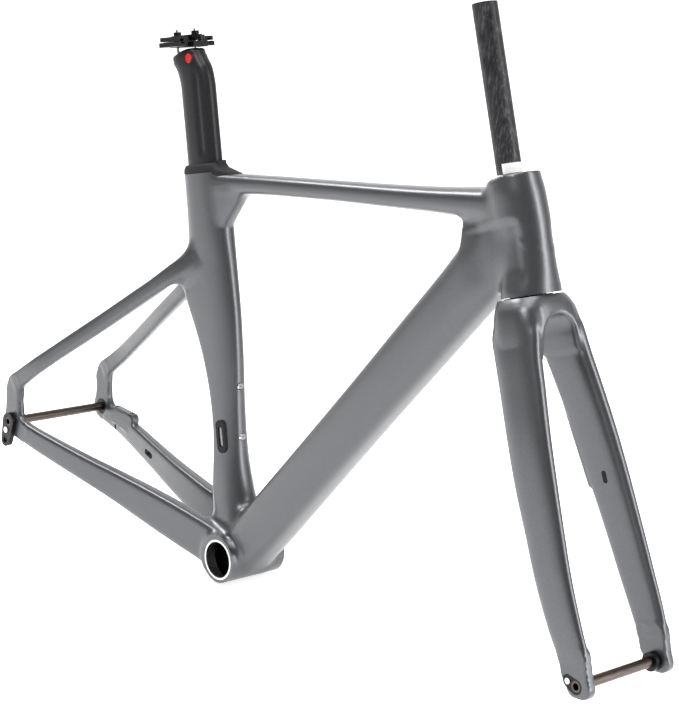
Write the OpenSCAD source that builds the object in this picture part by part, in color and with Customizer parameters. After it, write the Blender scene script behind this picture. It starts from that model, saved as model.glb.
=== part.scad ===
// Aero bicycle frameset: frame, fork, seatpost with rail clamp, and two through-axles.
// Millimetres. Origin at the middle of the bottom bracket, +X forward, +Y to the rider's left, +Z up.

/* [Frame geometry] */
// Height of the wheel axles above the bottom bracket
bb_drop = 72; // [50:1:85]
// Bottom bracket centre to rear axle
chainstay_len = 414; // [370:1:500]
// Bottom bracket to the top of the head tube, measured level
reach = 384; // [340:1:460]
// Slope of the steering axis from level
head_angle = 70.5; // [68:0.5:74]
// Length of the head tube
head_len = 132; // [100:1:190]
// Slope of the seat tube axis from level
seat_angle = 75.4; // [72:0.2:78]
// Distance of the seat tube axis behind the bottom bracket, at its height
seat_offset = 7; // [0:1:20]
// Length of the seat tube axis from bottom bracket height to its top
seat_len = 494; // [420:1:600]

/* [Fork] */
// Crown race to front axle, in a straight line
fork_len = 412; // [360:1:440]
// Offset of the front axle from the steering axis
fork_rake = 50; // [40:1:60]
// Steerer above the head tube
steerer_out = 190; // [60:5:220]
// Outer diameter of the steerer
steerer_d = 28.6; // [25.4:0.1:31.8]
// Outer diameter of the steerer at the crown
steerer_low_d = 39.8; // [34:0.1:41]
// Wall of the steerer
steerer_wall = 2.4; // [1.8:0.1:4]

/* [Hubs and bottom bracket] */
// Space between the rear dropouts
rear_gap = 142; // [130:1:148]
// Space between the fork ends
front_gap = 100; // [90:1:110]
// Diameter of both through-axles
axle_d = 12; // [10:0.5:15]
// Thickness of each dropout
dropout_t = 10; // [8:0.5:14]
// Width of the bottom bracket shell
bb_width = 86.5; // [68:0.5:92]
// Bore of the bottom bracket shell
bb_bore = 46; // [41:0.5:48]
// Thickness of the aluminium sleeve in the shell
sleeve_wall = 2.4; // [1.5:0.1:4]
// Wall of the shell round the sleeve
shell_wall = 3.8; // [3:0.1:6]

/* [Tubes] */
// Clear radius for the rear wheel, from its axle
wheel_clear = 357; // [340:1:390]
// Half width of the down tube at the bottom bracket
down_w = 33; // [24:1:36]
// Half depth of the down tube at its middle
down_h = 32.5; // [22:1:38]
// Half width of the seat tube at its top
seat_w = 19; // [17:0.5:24]
// Half width of the top tube at its middle
top_w = 16; // [12:0.5:20]
// Half depth of the top tube at its middle
top_h = 12; // [9:0.5:16]

/* [Seatpost] */
// Half depth of the seatpost section
post_h = 27.5; // [18:0.5:30]
// Half width of the seatpost section
post_w = 14; // [11:0.5:16]
// Length of the seatpost inside the frame
post_in = 125; // [90:5:160]
// Straight length of the seatpost above the frame
post_out = 96; // [70:1:220]
// How far the seatpost can be lowered from here
post_drop = 60; // [20:5:65]
// Diameter of the saddle rails
rail_d = 7; // [7:0.1:9.6]
// Distance between the saddle rails
rail_gap = 44; // [40:1:46]

/* [Fits] */
// Clearance on the radius of a turning or sliding axle
run_fit = 0.05; // [0.02:0.01:0.1]
// Bond line between glued carbon parts
bond = 0.1; // [0.05:0.05:0.3]
// Clearance between the seatpost and its socket
post_fit = 0.35; // [0.3:0.05:0.6]

/* [Hidden] */
frame_grey = "#6f7175";
carbon_black = "#1d1d1f";
round_fn = 96;
slice = 0.25;
post_slice = 0.1;
section_n = 36;
below = 10;

// Derived points of the side view
rear_x = -sqrt(pow(chainstay_len, 2) - pow(bb_drop, 2));
fork_down = sqrt(pow(fork_len, 2) - pow(fork_rake, 2));
stack = bb_drop + (fork_down + head_len) * sin(head_angle) - fork_rake * cos(head_angle);
crown_x = reach + head_len * cos(head_angle);
crown_z = stack - head_len * sin(head_angle);
front_x = crown_x + fork_down * cos(head_angle) + fork_rake * sin(head_angle);
function on_steer(s, n = 0) =
    [crown_x - s * cos(head_angle) + n * sin(head_angle), crown_z + s * sin(head_angle) + n * cos(head_angle)];
function on_seat(s, n = 0) =
    [-seat_offset - s * cos(seat_angle) + n * sin(seat_angle), s * sin(seat_angle) + n * cos(seat_angle)];

// Sizes that several parts share
shell_r = bb_bore / 2 + sleeve_wall + bond + shell_wall;
axle_r = axle_d / 2;
rear_in = rear_gap / 2;
front_in = front_gap / 2;
end_r = axle_r + 10;
dropout_r = axle_r + 14;
steerer_r = steerer_d / 2;
steerer_low_r = steerer_low_d / 2;
low_cup_r = steerer_low_r + 6.1;
high_cup_r = steerer_r + 6.6;
cup_h = 7;
head_bore_low = steerer_low_r + 2.6;
head_bore_high = steerer_r + 3.7;
taper_top = 60;
gap_ring = 1.6;
down_join = 0.53 * head_len;
top_join = 0.75 * head_len;
top_start = seat_len - 19;
blade_top = 43;
crown_back = 27;
sweep_gap = 2.6;
blade_y_top = 35;
end_h = 24;
end_in = front_in + 8.5;
end_t = dropout_t + 2;
stay_y_rear = rear_in + dropout_t / 2;

// Seatpost head
head_bend = 21.8;
head_place = on_seat(seat_len + post_out + 47, -17);
barrel_r = 6;
barrel_x = 17;
barrel_z = -10;
knuckle_r = 13;
clamp_tilt = 12;
bolt_r = 2.5;
bolt_back = 36;
rail_z = 22;
ear_places = [8, -58];

// One cross-section: rounded box with its own reach up, down and to each side
function rounded(v, p) = sign(v) * pow(abs(v), 2 / p);
function outline(up, down, w, p) = [for (i = [0:section_n - 1])
    let (a = 360 * i / section_n, c = rounded(cos(a), p), s = rounded(sin(a), p))
    [-(c > 0 ? up : down) * c, w * s]];

module section(up, down, w, p, thick = slice) {
    linear_extrude(thick, center = true)
        polygon(outline(up, down, w, p));
}

// Places a section at a point of the side view, square to a direction given by its slope
module station(x, y, z, slope) {
    translate([x, y, z])
        rotate([0, 90 - slope, 0])
            children();
}

// A tube between two side-view points. Each station is [share of the length, reach up,
// reach down, half width, sideways place]; grow widens it all round
module tube(from, to, stations, p = 2.4, grow = 0) {
    slope = atan2(to[1] - from[1], to[0] - from[0]);
    for (i = [0:len(stations) - 2])
        hull()
            for (k = [i, i + 1]) {
                t = stations[k];
                station(from[0] + (to[0] - from[0]) * t[0], t[4], from[1] + (to[1] - from[1]) * t[0], slope)
                    section(t[1] + grow, t[2] + grow, t[3] + grow, p);
            }
}

module across(r, len, fn = round_fn) {
    rotate([90, 0, 0])
        cylinder(r = r, h = len, center = true, $fn = fn);
}

// A washer or tube along Y, from y0 to y1
module ring_y(x, z, r_out, r_in, y0, y1) {
    translate([x, y1, z])
        rotate([90, 0, 0])
            difference() {
                cylinder(r = r_out, h = y1 - y0, $fn = round_fn);
                translate([0, 0, -1])
                    cylinder(r = r_in, h = y1 - y0 + 2, $fn = round_fn);
            }
}

module rod_y(x, z, r, y0, y1) {
    translate([x, y1, z])
        rotate([90, 0, 0])
            cylinder(r = r, h = y1 - y0, $fn = round_fn);
}

// Puts its children in the steering frame: x forward from the axis, z up along it
module steer_frame() {
    translate([crown_x, 0, crown_z])
        rotate([0, head_angle - 90, 0])
            children();
}

// The same for the seat tube, with z = 0 at bottom bracket height
module seat_frame() {
    translate([-seat_offset, 0, 0])
        rotate([0, seat_angle - 90, 0])
            children();
}

// The same for the seatpost head, with z = 0 on its top face
module post_head_frame() {
    translate([head_place[0], 0, head_place[1]])
        rotate([0, -head_bend, 0])
            children();
}

// Rings turned about the steering axis
module steer_ring(r_out, r_in, z0, h) {
    steer_frame()
        translate([0, 0, z0])
            difference() {
                cylinder(r = r_out, h = h, $fn = round_fn);
                translate([0, 0, -1])
                    cylinder(r = r_in, h = h + 2, $fn = round_fn);
            }
}

// ---- Front triangle ----

head_stations = [[0, 36, 26, 29], [0.2, 38, 27, 27.5], [0.5, 39.5, 28, 26], [0.8, 39.5, 28, 26], [1, 38, 27, 27]];

module head_body(grow = 0) {
    steer_frame()
        for (i = [0:len(head_stations) - 2])
            hull()
                for (t = [head_stations[i], head_stations[i + 1]])
                    translate([0, 0, t[0] * head_len])
                        section(t[2] + grow, t[1] + grow, t[3] + grow, 2);
}

module head_tube() {
    color(frame_grey)
        difference() {
            head_body();
            steer_frame() {
                translate([0, 0, -below])
                    cylinder(r = low_cup_r + run_fit, h = below + cup_h + 1.5, $fn = round_fn);
                cylinder(r = head_bore_low, h = taper_top + 12, $fn = round_fn);
                cylinder(r = head_bore_high, h = head_len + below, $fn = round_fn);
                translate([0, 0, head_len - cup_h - 2.5])
                    cylinder(r = high_cup_r + run_fit, h = cup_h + below, $fn = round_fn);
            }
        }
}

module down_body(grow = 0) {
    stations = [
        [0, 30, 29, down_w, 0], [0.13, down_h - 1, down_h - 1, down_w - 1, 0],
        [0.3, down_h - 0.5, down_h - 0.5, down_w - 3, 0], [0.5, down_h, down_h, down_w - 5, 0],
        [0.68, down_h + 1.5, down_h + 1.5, down_w - 6, 0], [0.82, down_h + 2.5, down_h + 2.5, down_w - 6.5, 0],
        [0.92, down_h + 6, down_h + 3.5, down_w - 7, 0], [1, down_h + 10, down_h + 4, down_w - 8, 0]];
    tube([0, 0], on_steer(down_join), stations, 2.8, grow);
}

module shell_cut(grow) {
    across(shell_r + grow, bb_width + 40);
}

// Keeps a tube off everything past the middle of the head tube
module head_cut() {
    head_body(bond);
    steer_frame()
        translate([0, -60, -60])
            cube([120, 120, head_len + 120]);
}

// Room for the fork crown's back corners as the fork turns
module crown_sweep() {
    room = [for (t = crown_rows) [t[3] + sweep_gap, t[0]]];
    low = room[len(room) - 1][0] + sweep_gap;
    steer_frame()
        rotate_extrude($fn = round_fn)
            polygon(concat([[0, 0], [room[0][0], 0]], room, [[low, -90], [0, -90]]));
}

module down_tube() {
    color(frame_grey)
        difference() {
            down_body();
            shell_cut(bond);
            head_cut();
            crown_sweep();
            bottle_holes();
        }
}

// The last stations reach down to make the web between top tube, down tube and head tube
module top_body(grow = 0) {
    stations = [
        [0, top_h + 1.5, top_h + 34, top_w - 1.3, 0], [0.11, top_h, top_h + 30, top_w - 1.1, 0],
        [0.19, top_h - 0.2, top_h + 3, top_w - 0.8, 0], [0.28, top_h - 0.5, top_h, top_w - 0.5, 0],
        [0.5, top_h, top_h, top_w, 0], [0.7, top_h + 1, top_h + 2, top_w + 3, 0],
        [0.835, top_h + 3, top_h + 5, top_w + 5, 0], [0.86, top_h + 3.5, top_h + 50, top_w + 5.5, 0],
        [1, top_h + 8, top_h + 51, top_w + 9, 0]];
    tube(on_seat(top_start), on_steer(top_join), stations, 2.8, grow);
}

module top_tube() {
    color(frame_grey)
        difference() {
            top_body();
            head_cut();
            down_body(bond);
            seat_body(bond);
        }
}

module seat_body(grow = 0) {
    stations = [
        [0.02, 34, 30, 28, 0], [0.1, 31, 30, 25.5, 0], [0.17, 26.5, 32, 22.5, 0], [0.25, 23.5, 36, 20, 0],
        [0.36, 26.5, 40, 18, 0], [0.52, 34.5, 48, seat_w - 1.5, 0], [0.64, 37.5, 60, seat_w - 1, 0],
        [0.73, 37, 56, seat_w - 0.5, 0], [0.82, 35.5, 38, seat_w, 0], [0.92, 35.5, 37, seat_w, 0],
        [1, 35, 36, seat_w, 0]];
    difference() {
        seat_frame()
            for (i = [0:len(stations) - 2])
                hull()
                    for (t = [stations[i], stations[i + 1]])
                        translate([0, 0, t[0] * seat_len])
                            section(t[2] + grow, t[1] + grow, t[3] + grow, 2.4);
        translate([rear_x, 0, bb_drop])
            across(wheel_clear - grow, 200);
    }
}

module post_section(grow, len) {
    linear_extrude(len)
        polygon(outline(post_h + grow, post_h + grow, post_w + grow, 2.5));
}

module post_socket(grow = post_fit) {
    seat_frame()
        translate([0, 0, seat_len - post_in - post_drop - 3])
            post_section(grow, post_in + post_drop + 40);
}

module wedge_pocket(grow = 0) {
    seat_frame()
        translate([post_h - 7 - grow, -7 - grow, seat_len - 26 - grow])
            cube([12.5 + 2 * grow, 14 + 2 * grow, 30 + 2 * grow]);
}

module seat_tube() {
    color(frame_grey)
        difference() {
            seat_body();
            shell_cut(bond);
            down_body(bond);
            post_socket();
            wedge_pocket(0.2);
            bottle_holes();
            port_hole(0.1);
        }
}

// ---- Bottom bracket ----

module bb_shell() {
    color(frame_grey)
        ring_y(0, 0, shell_r, bb_bore / 2 + sleeve_wall + bond / 2, -bb_width / 2, bb_width / 2);
}

module bb_sleeve() {
    color("silver")
        ring_y(0, 0, bb_bore / 2 + sleeve_wall, bb_bore / 2, -bb_width / 2, bb_width / 2);
}

// ---- Rear triangle, drawn once for the right side and mirrored ----

stay_from = [rear_x + 6, bb_drop - 6];
stay_to = [-4, 4];

module chainstay_body(grow = 0) {
    y0 = -stay_y_rear;
    stations = [
        [0, 14.5, 13.5, 6, y0], [0.08, 14.5, 14, 6.5, y0 + 1.5], [0.2, 15.5, 15.5, 7.5, y0 + 8],
        [0.35, 17, 17.5, 8.5, y0 + 18], [0.5, 20, 20.5, 9.5, y0 + 28], [0.65, 23.5, 24, 10.5, y0 + 35],
        [0.8, 26.5, 25.5, 11.5, y0 + 40], [0.93, 29, 25, 12, y0 + 43], [1, 29, 25, 12, y0 + 44]];
    tube(stay_from, stay_to, stations, 2.8, grow);
}

module dropout_body(grow = 0, y0 = 0, y1 = 0) {
    for (pair = [[[rear_x - 4.5, bb_drop + 46, 13.5], [rear_x, bb_drop, dropout_r - 1]],
                 [[rear_x, bb_drop, dropout_r - 1], [rear_x + 20, bb_drop - 8, 14.5]]])
        hull()
            for (c = pair)
                translate([c[0], -rear_in + y1, c[1]])
                    rotate([90, 0, 0])
                        cylinder(r = c[2] + grow, h = dropout_t + y0 + y1, $fn = round_fn);
}

module chainstay() {
    difference() {
        chainstay_body();
        dropout_body(bond, 12, 12);
        shell_cut(bond);
        down_body(bond);
        seat_body(bond);
        translate([rear_x, 0, bb_drop])
            across(dropout_r + bond, rear_gap + 80);
    }
}

module chainstay_right() {
    color(frame_grey)
        chainstay();
}

module chainstay_left() {
    color(frame_grey)
        difference() {
            mirror([0, 1, 0])
                chainstay();
            brake_block_rear(bond);
            translate([rear_x + 138, 0, bb_drop - 27])
                rotate([0, 8, 0])
                    hull()
                        for (dx = [-7, 7])
                            translate([dx, 55, 0])
                                rotate([90, 0, 0])
                                    cylinder(r = 4, h = 60, center = true, $fn = 32);
        }
}

module seatstay_body(grow = 0) {
    y0 = -stay_y_rear;
    stations = [
        [0, 12, 12, 6, y0], [0.12, 11, 11, 6, y0 + 2], [0.3, 10.5, 10.5, 6.3, y0 + 12],
        [0.55, 10.5, 10.5, 7, y0 + 29], [0.8, 10.5, 10.5, 8, y0 + 44], [0.92, 13, 12, 9, y0 + 52],
        [1, 19, 14, 10.5, y0 + 59]];
    tube([rear_x + 2, bb_drop + 56], on_seat(0.75 * seat_len, -28), stations, 2.3, grow);
}

module seatstay() {
    difference() {
        seatstay_body();
        dropout_body(bond, 12, 12);
        seat_body(bond);
    }
}

module seatstay_right() {
    color(frame_grey)
        seatstay();
}

module seatstay_left() {
    color(frame_grey)
        mirror([0, 1, 0])
            seatstay();
}

hanger_pin = [rear_x - 2, bb_drop - 12];
hanger_foot = [rear_x - 4, bb_drop - 27];
hanger_t = 7;

module dropout_right() {
    color(frame_grey)
        difference() {
            dropout_body();
            translate([rear_x, -rear_in - dropout_t / 2, bb_drop])
                across(axle_r + 0.4, dropout_t + 2);
            translate([hanger_pin[0], -rear_in - dropout_t / 2, hanger_pin[1]])
                across(bolt_r + 0.1, dropout_t + 2);
        }
}

module dropout_left() {
    color(frame_grey)
        difference() {
            mirror([0, 1, 0])
                dropout_body();
            brake_block_rear(bond);
            translate([rear_x, rear_in + dropout_t / 2, bb_drop])
                across(axle_r + 5.1, dropout_t + 2);
        }
}

// Black bush that carries the rear axle's head
module axle_bush_rear() {
    color(carbon_black)
        ring_y(rear_x, bb_drop, axle_r + 5, axle_r + run_fit, rear_in - 0.6, rear_in + dropout_t);
}

// Hanger: threaded for the axle, with the derailleur's hole below
module derailleur_hanger() {
    color(carbon_black)
        difference() {
            hull() {
                rod_y(rear_x, bb_drop, 12, -rear_in - dropout_t - hanger_t, -rear_in - dropout_t);
                rod_y(hanger_foot[0], hanger_foot[1], 9, -rear_in - dropout_t - hanger_t, -rear_in - dropout_t);
            }
            translate([rear_x, -rear_in - dropout_t, bb_drop])
                across(axle_r + run_fit, 40);
            translate([hanger_pin[0], -rear_in - dropout_t, hanger_pin[1]])
                across(bolt_r + 0.1, 40);
            translate([hanger_foot[0], -rear_in - dropout_t, hanger_foot[1]])
                across(4.5, 40);
        }
}

module hanger_bolt() {
    color("silver") {
        difference() {
            rod_y(hanger_pin[0], hanger_pin[1], 4.2, -rear_in - dropout_t - hanger_t - 1.6,
                -rear_in - dropout_t - hanger_t);
            translate([hanger_pin[0], -rear_in - dropout_t - hanger_t - 1, hanger_pin[1]])
                rotate([90, 0, 0])
                    cylinder(r = 1.7, h = 3, $fn = 6);
        }
        rod_y(hanger_pin[0], hanger_pin[1], bolt_r, -rear_in - dropout_t - hanger_t, -rear_in - 1);
    }
}

// Flat mount for the rear caliper, on the left chainstay
brake_pitch_rear = 34;
brake_rear_x = rear_x + 56;
brake_rear_y = stay_y_rear - 7;

module brake_block_rear(grow = 0) {
    hull() {
        for (dx = [-brake_pitch_rear / 2 - 8, brake_pitch_rear / 2 + 8])
            translate([brake_rear_x + dx, brake_rear_y, bb_drop - 22 - grow])
                cylinder(r = 6.5 + grow, h = 33 + 2 * grow, $fn = 48);
    }
}

module brake_mount_rear() {
    color(frame_grey)
        difference() {
            brake_block_rear();
            for (dx = [-brake_pitch_rear / 2, brake_pitch_rear / 2])
                translate([brake_rear_x + dx, brake_rear_y, bb_drop - 40])
                    cylinder(r = 2.6, h = 80, $fn = round_fn);
        }
}

// ---- Small parts on the seat tube and down tube ----

module port_slot(len, r, depth) {
    hull()
        for (dz = [-len / 2 + r, len / 2 - r])
            translate([0, 0, dz])
                rotate([90, 0, 0])
                    cylinder(r = r, h = depth, $fn = 48);
}

port_place = on_seat(0.305 * seat_len, 6);
port_y = -(seat_w - 1.8);

module port_frame() {
    translate([port_place[0], port_y, port_place[1]])
        rotate([0, seat_angle - 90, 0])
            children();
}

module port_hole(grow = 0) {
    port_frame()
        translate([0, 6, 0])
            port_slot(42 + 2 * grow, 8 + grow, 12);
}

module port_cover() {
    color(carbon_black)
        difference() {
            port_frame()
                translate([0, 5.8, 0])
                    port_slot(42, 8, 9);
            port_frame()
                translate([0, 7, 0])
                    port_slot(26, 3.5, 14);
        }
}

module port_plug() {
    color("#8b8c8e")
        port_frame()
            translate([0, 5.6, 0])
                port_slot(25.6, 3.3, 6.4);
}

bottle_pitch = 64;
seat_bolt_s = 0.43 * seat_len;
down_end = on_steer(down_join);
down_slope = atan2(down_end[1], down_end[0]);
down_bolt_s = 0.36 * norm(down_end);
rivnut_r = 3.6;
bottle_r = 2.5;
boss_sink = 0.9;

// Children drawn at each bottle boss, with z pointing out of the tube
module at_bosses() {
    for (d = [0, bottle_pitch]) {
        seat_frame()
            translate([boss_front(seat_bolt_s - d), 0, seat_bolt_s - d])
                rotate([0, 90, 0])
                    children();
        rotate([0, -down_slope, 0])
            translate([down_bolt_s + d, 0, down_h - boss_sink])
                children();
    }
}

// Front face of the seat tube at a height along its axis, at the bosses
function boss_front(s) = 22.2 + max(0, s / seat_len - 0.25) * 35;

module bottle_holes() {
    at_bosses() {
        translate([0, 0, -14])
            cylinder(r = rivnut_r + 0.15, h = 30, $fn = 48);
        cylinder(r = 5, h = 10, $fn = 48);
    }
}

module bottle_rivnuts() {
    color("silver")
        at_bosses()
            difference() {
                translate([0, 0, -13])
                    cylinder(r = rivnut_r, h = 13.2, $fn = 48);
                translate([0, 0, -12])
                    cylinder(r = bottle_r + 0.05, h = 20, $fn = 48);
            }
}

module bottle_bolts() {
    color("silver")
        at_bosses() {
            translate([0, 0, -9])
                cylinder(r = bottle_r, h = 9.2, $fn = 48);
            difference() {
                translate([0, 0, 0.2])
                    cylinder(r1 = 4.6, r2 = 3.8, h = 2.2, $fn = 48);
                translate([0, 0, 0.8])
                    cylinder(r = 1.5, h = 4, $fn = 6);
            }
        }
}

// ---- Seat clamp ----

top_begin = on_seat(top_start);
top_end = on_steer(top_join);
top_slope = atan2(top_end[1] - top_begin[1], top_end[0] - top_begin[0]);
tail_run = 57;

// Soft cover with a tail that runs forward onto the top tube
module seat_collar() {
    color(carbon_black)
        difference() {
            hull() {
                seat_frame() {
                    translate([0, 0, seat_len + 0.2])
                        section(35, 34.5, seat_w - 0.3, 2.5);
                    translate([0, 0, seat_len + 4])
                        section(31.5, 31.5, post_w + 3, 2.5);
                }
                translate([top_begin[0], 0, top_begin[1]])
                    rotate([0, -top_slope, 0])
                        translate([tail_run, 0, top_h + 0.5])
                            cylinder(r = 7, h = 3, $fn = 32);
            }
            seat_frame()
                translate([0, 0, seat_len - 30])
                    post_section(post_fit, 60);
            seat_body(0.15);
            top_body(0.15);
            wedge_pocket(0.2);
        }
}

module seat_wedge() {
    color("silver")
        difference() {
            wedge_pocket();
            seat_frame()
                translate([0, 0, seat_len - 40])
                    post_section(post_fit, 60);
            seat_frame()
                translate([post_h + 3, 0, seat_len - 40])
                    cylinder(r = bolt_r - 0.4 + 0.1, h = 60, $fn = 48);
        }
}

module seat_wedge_bolt() {
    color("#3a3a3c")
        seat_frame()
            translate([post_h + 3, 0, seat_len - 22])
                difference() {
                    cylinder(r = bolt_r - 0.4, h = 25, $fn = 48);
                    translate([0, 0, 22])
                        cylinder(r = 1.2, h = 5, $fn = 6);
                }
}

// ---- Headset ----

module upper_bearing_cup() {
    color("#3b3c3e")
        steer_ring(high_cup_r, steerer_r + 4.1, head_len - cup_h - 2, cup_h);
}

module upper_bearing_ring() {
    color("#8d8f92")
        steer_ring(steerer_r + 3.6, steerer_r + 0.95, head_len - cup_h - 2, cup_h);
}

module compression_ring() {
    color("silver")
        steer_ring(steerer_r + 0.85, steerer_r + 0.1, head_len - cup_h - 1, cup_h + 2);
}

module lower_bearing_cup() {
    color("#3b3c3e")
        steer_ring(low_cup_r, steerer_low_r + 3.2, 1, cup_h);
}

module lower_bearing_ring() {
    color("#8d8f92")
        steer_ring(steerer_low_r + 2.8, steerer_low_r + 0.1, 1, cup_h);
}

module crown_race() {
    color(carbon_black)
        steer_ring(low_cup_r + 1, steerer_low_r + 0.1, -gap_ring, gap_ring - 0.5);
}

// ---- Fork ----

// The part inside the head tube is a touch thinner than the clamping length above it
seat_step = 0.4;

module steerer() {
    color(carbon_black)
        steer_frame()
            rotate_extrude($fn = round_fn)
                polygon([
                    [steerer_low_r - 3.4, -18], [steerer_low_r, -18], [steerer_low_r, 10],
                    [steerer_r - seat_step, taper_top], [steerer_r - seat_step, head_len + 2],
                    [steerer_r, head_len + 2], [steerer_r, head_len + steerer_out],
                    [steerer_r - steerer_wall, head_len + steerer_out],
                    [steerer_r - steerer_wall, taper_top + 4], [steerer_low_r - 3.4, 10]]);
}

// Stations of the right blade: [share of the way down, forward reach, back reach, half width, side]
blade_rows = [
    [0, 39.5, crown_back - 1, 11, -blade_y_top], [0.05, 39.8, 23, 11, -38.2],
    [0.168, 43.5, 16.8, 10.5, -44.5], [0.315, 48, 9.8, 10, -52], [0.462, 52.3, 3.4, 9.3, -57.3],
    [0.609, 56, -4.7, 8.6, -61.3], [0.756, 60, -12, 8, -64.6], [0.903, 65.4, -21.5, 7.3, -65.8],
    [1, 68, -31, 6.6, -end_in - end_t / 2]];
drawn_rake = 50;
blade_high = -blade_top - 2 * slice;
blade_low = end_h + 2 - fork_down;
function blade_depth(share) = blade_high + (blade_low - blade_high) * share;
function blade_side(z) = lookup(z, [for (t = blade_rows) [blade_depth(t[0]), t[4]]]);

module blade_section(t, grow = 0) {
    c = (t[1] - t[2]) / 2;
    h = (t[1] + t[2]) / 2;
    translate([c + (fork_rake - drawn_rake) * t[0], t[4], blade_depth(t[0])])
        section(h + grow, h + grow, t[3] + grow, 2.4);
}

module blade_body(grow = 0) {
    steer_frame()
        for (i = [0:len(blade_rows) - 2])
            hull() {
                blade_section(blade_rows[i], grow);
                blade_section(blade_rows[i + 1], grow);
            }
}

module fork_end_body(grow = 0) {
    hull() {
        for (dx = [-12, 10])
            steer_frame()
                translate([fork_rake + dx, -end_in, end_h - fork_down + 2])
                    rotate([90, 0, 0])
                        cylinder(r = 9 + grow, h = end_t, $fn = 48);
        translate([front_x, -end_in, bb_drop])
            rotate([90, 0, 0])
                cylinder(r = end_r + grow, h = end_t, $fn = round_fn);
    }
}

// Rows of the crown: [height, forward reach, back reach, half width, squareness]
crown_rows = [
    [-gap_ring - 0.6, 32.5, 26, 34.2, 2.8], [-6, 36, crown_back, 38.5, 3],
    [-16, 39.5, crown_back, 43.5, 3.3], [-30, 41, crown_back, 46, 3.7],
    [-blade_top, 41, crown_back - 0.5, 47.4, 4]];
arch_r = blade_y_top - 11;
arch_top = 24;
arch_cut = 80;

module fork_crown() {
    color(frame_grey)
        steer_frame()
            difference() {
                for (i = [0:len(crown_rows) - 2])
                    hull()
                        for (t = [crown_rows[i], crown_rows[i + 1]])
                            translate([0, 0, t[0]])
                                section(t[2], t[1], t[3], t[4]);
                translate([0, 0, -arch_top - arch_r])
                    rotate([0, 90, 0])
                        cylinder(r = arch_r, h = 120, center = true, $fn = round_fn);
                translate([-60, -arch_r, -arch_cut])
                    cube([120, 2 * arch_r, arch_cut - arch_top - arch_r]);
                translate([0, 0, -18.1])
                    cylinder(r = steerer_low_r + 0.1, h = 40, $fn = round_fn);
            }
}

module fork_blade() {
    difference() {
        blade_body();
        fork_end_body(bond);
    }
}

module fork_blade_right() {
    color(frame_grey)
        fork_blade();
}

module fork_blade_left() {
    color(frame_grey)
        difference() {
            mirror([0, 1, 0])
                fork_blade();
            brake_block_front(bond);
            brake_bolt_holes(3.4);
            grommet_hole(bond);
        }
}

nut_r = 8.5;
nut_shift = 11;
nut_rise = 0.25;

module nut_oval(r, y_out, y_in) {
    hull()
        for (dx = [0, -nut_shift])
            translate([front_x + dx, y_in, bb_drop - dx * nut_rise])
                rotate([90, 0, 0])
                    cylinder(r = r + dx * 0.12, h = y_in - y_out, $fn = round_fn);
}

module fork_end_right() {
    color(frame_grey)
        difference() {
            fork_end_body();
            nut_oval(nut_r + 0.1, -end_in - end_t - 1, -end_in + 1);
        }
}

module fork_end_left() {
    color(frame_grey)
        difference() {
            mirror([0, 1, 0])
                fork_end_body();
            translate([front_x, end_in + end_t / 2, bb_drop])
                across(axle_r + 4.6, end_t + 2);
        }
}

// Oval insert that the front axle screws into, held by a small screw
nut_screw = [front_x - nut_shift, bb_drop + nut_shift * nut_rise];
nut_face = -end_in - end_t;

module axle_nut_front() {
    color(carbon_black)
        difference() {
            union() {
                nut_oval(nut_r, nut_face + 0.4, -end_in + 0.4);
                rod_y(front_x, bb_drop, nut_r, -end_in, -front_in);
            }
            translate([front_x, -end_in, bb_drop])
                across(axle_r + run_fit, 60);
            translate([nut_screw[0], -end_in, nut_screw[1]])
                across(2.1, 60);
        }
}

module axle_nut_screw() {
    color("silver")
        difference() {
            union() {
                rod_y(nut_screw[0], nut_screw[1], 2, nut_face + 0.3, -end_in - 1);
                rod_y(nut_screw[0], nut_screw[1], 3.3, nut_face - 1, nut_face + 0.3);
            }
            translate([nut_screw[0], nut_face, nut_screw[1]])
                rotate([90, 0, 0])
                    cylinder(r = 1.3, h = 4, $fn = 6);
        }
}

module axle_bush_front() {
    color(carbon_black)
        ring_y(front_x, bb_drop, axle_r + 4.5, axle_r + run_fit, front_in, end_in + end_t);
}

brake_pitch_front = 70;
brake_front_z = -170;
brake_front_y = -blade_side(brake_front_z);
brake_splay = 0.11;
brake_lean = 0.13;

// Raised pad for the front caliper on the back of the left blade
module brake_block_front(grow = 0) {
    steer_frame()
        hull()
            for (dz = [-brake_pitch_front / 2 - 7, brake_pitch_front / 2 + 7])
                translate([-9 - grow - dz * brake_lean, brake_front_y - dz * brake_splay, brake_front_z + dz])
                    rotate([0, 90, 0])
                        cylinder(r = 6.5 + grow, h = 24 + grow, $fn = 48);
}

module brake_bolt_holes(r) {
    steer_frame()
        for (dz = [-brake_pitch_front / 2, brake_pitch_front / 2])
            translate([-60, brake_front_y - dz * brake_splay, brake_front_z + dz])
                rotate([0, 90, 0])
                    cylinder(r = r, h = 160, $fn = round_fn);
}

module brake_mount_front() {
    color(frame_grey)
        difference() {
            brake_block_front();
            brake_bolt_holes(2.6);
        }
}

grommet_z = -207;

module grommet_hole(grow = 0) {
    steer_frame()
        hull()
            for (dz = [-4, 4])
                translate([27, -blade_side(grommet_z) - 3.5 + grow, grommet_z + dz])
                    rotate([90, 0, 0])
                        cylinder(r = 3.2 + grow, h = 12, $fn = 32);
}

module hose_grommet() {
    color(carbon_black)
        intersection() {
            grommet_hole();
            mirror([0, 1, 0])
                blade_body();
        }
}

// ---- Seatpost and rail clamp ----

// The bend is an arc that leans back; t runs from 0 at its start to 1 at the head
bend_lean = 18;
bend_r = 95;
bend_steps = 8;

module bend_frame(t, up = 0) {
    lean = bend_lean * t;
    back = bend_r * (1 - cos(lean)) + up * sin(lean);
    rise = bend_r * sin(lean) + up * cos(lean);
    seat_frame()
        translate([-back, 0, seat_len + post_out + rise])
            rotate([0, -lean, 0])
                children();
}

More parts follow.
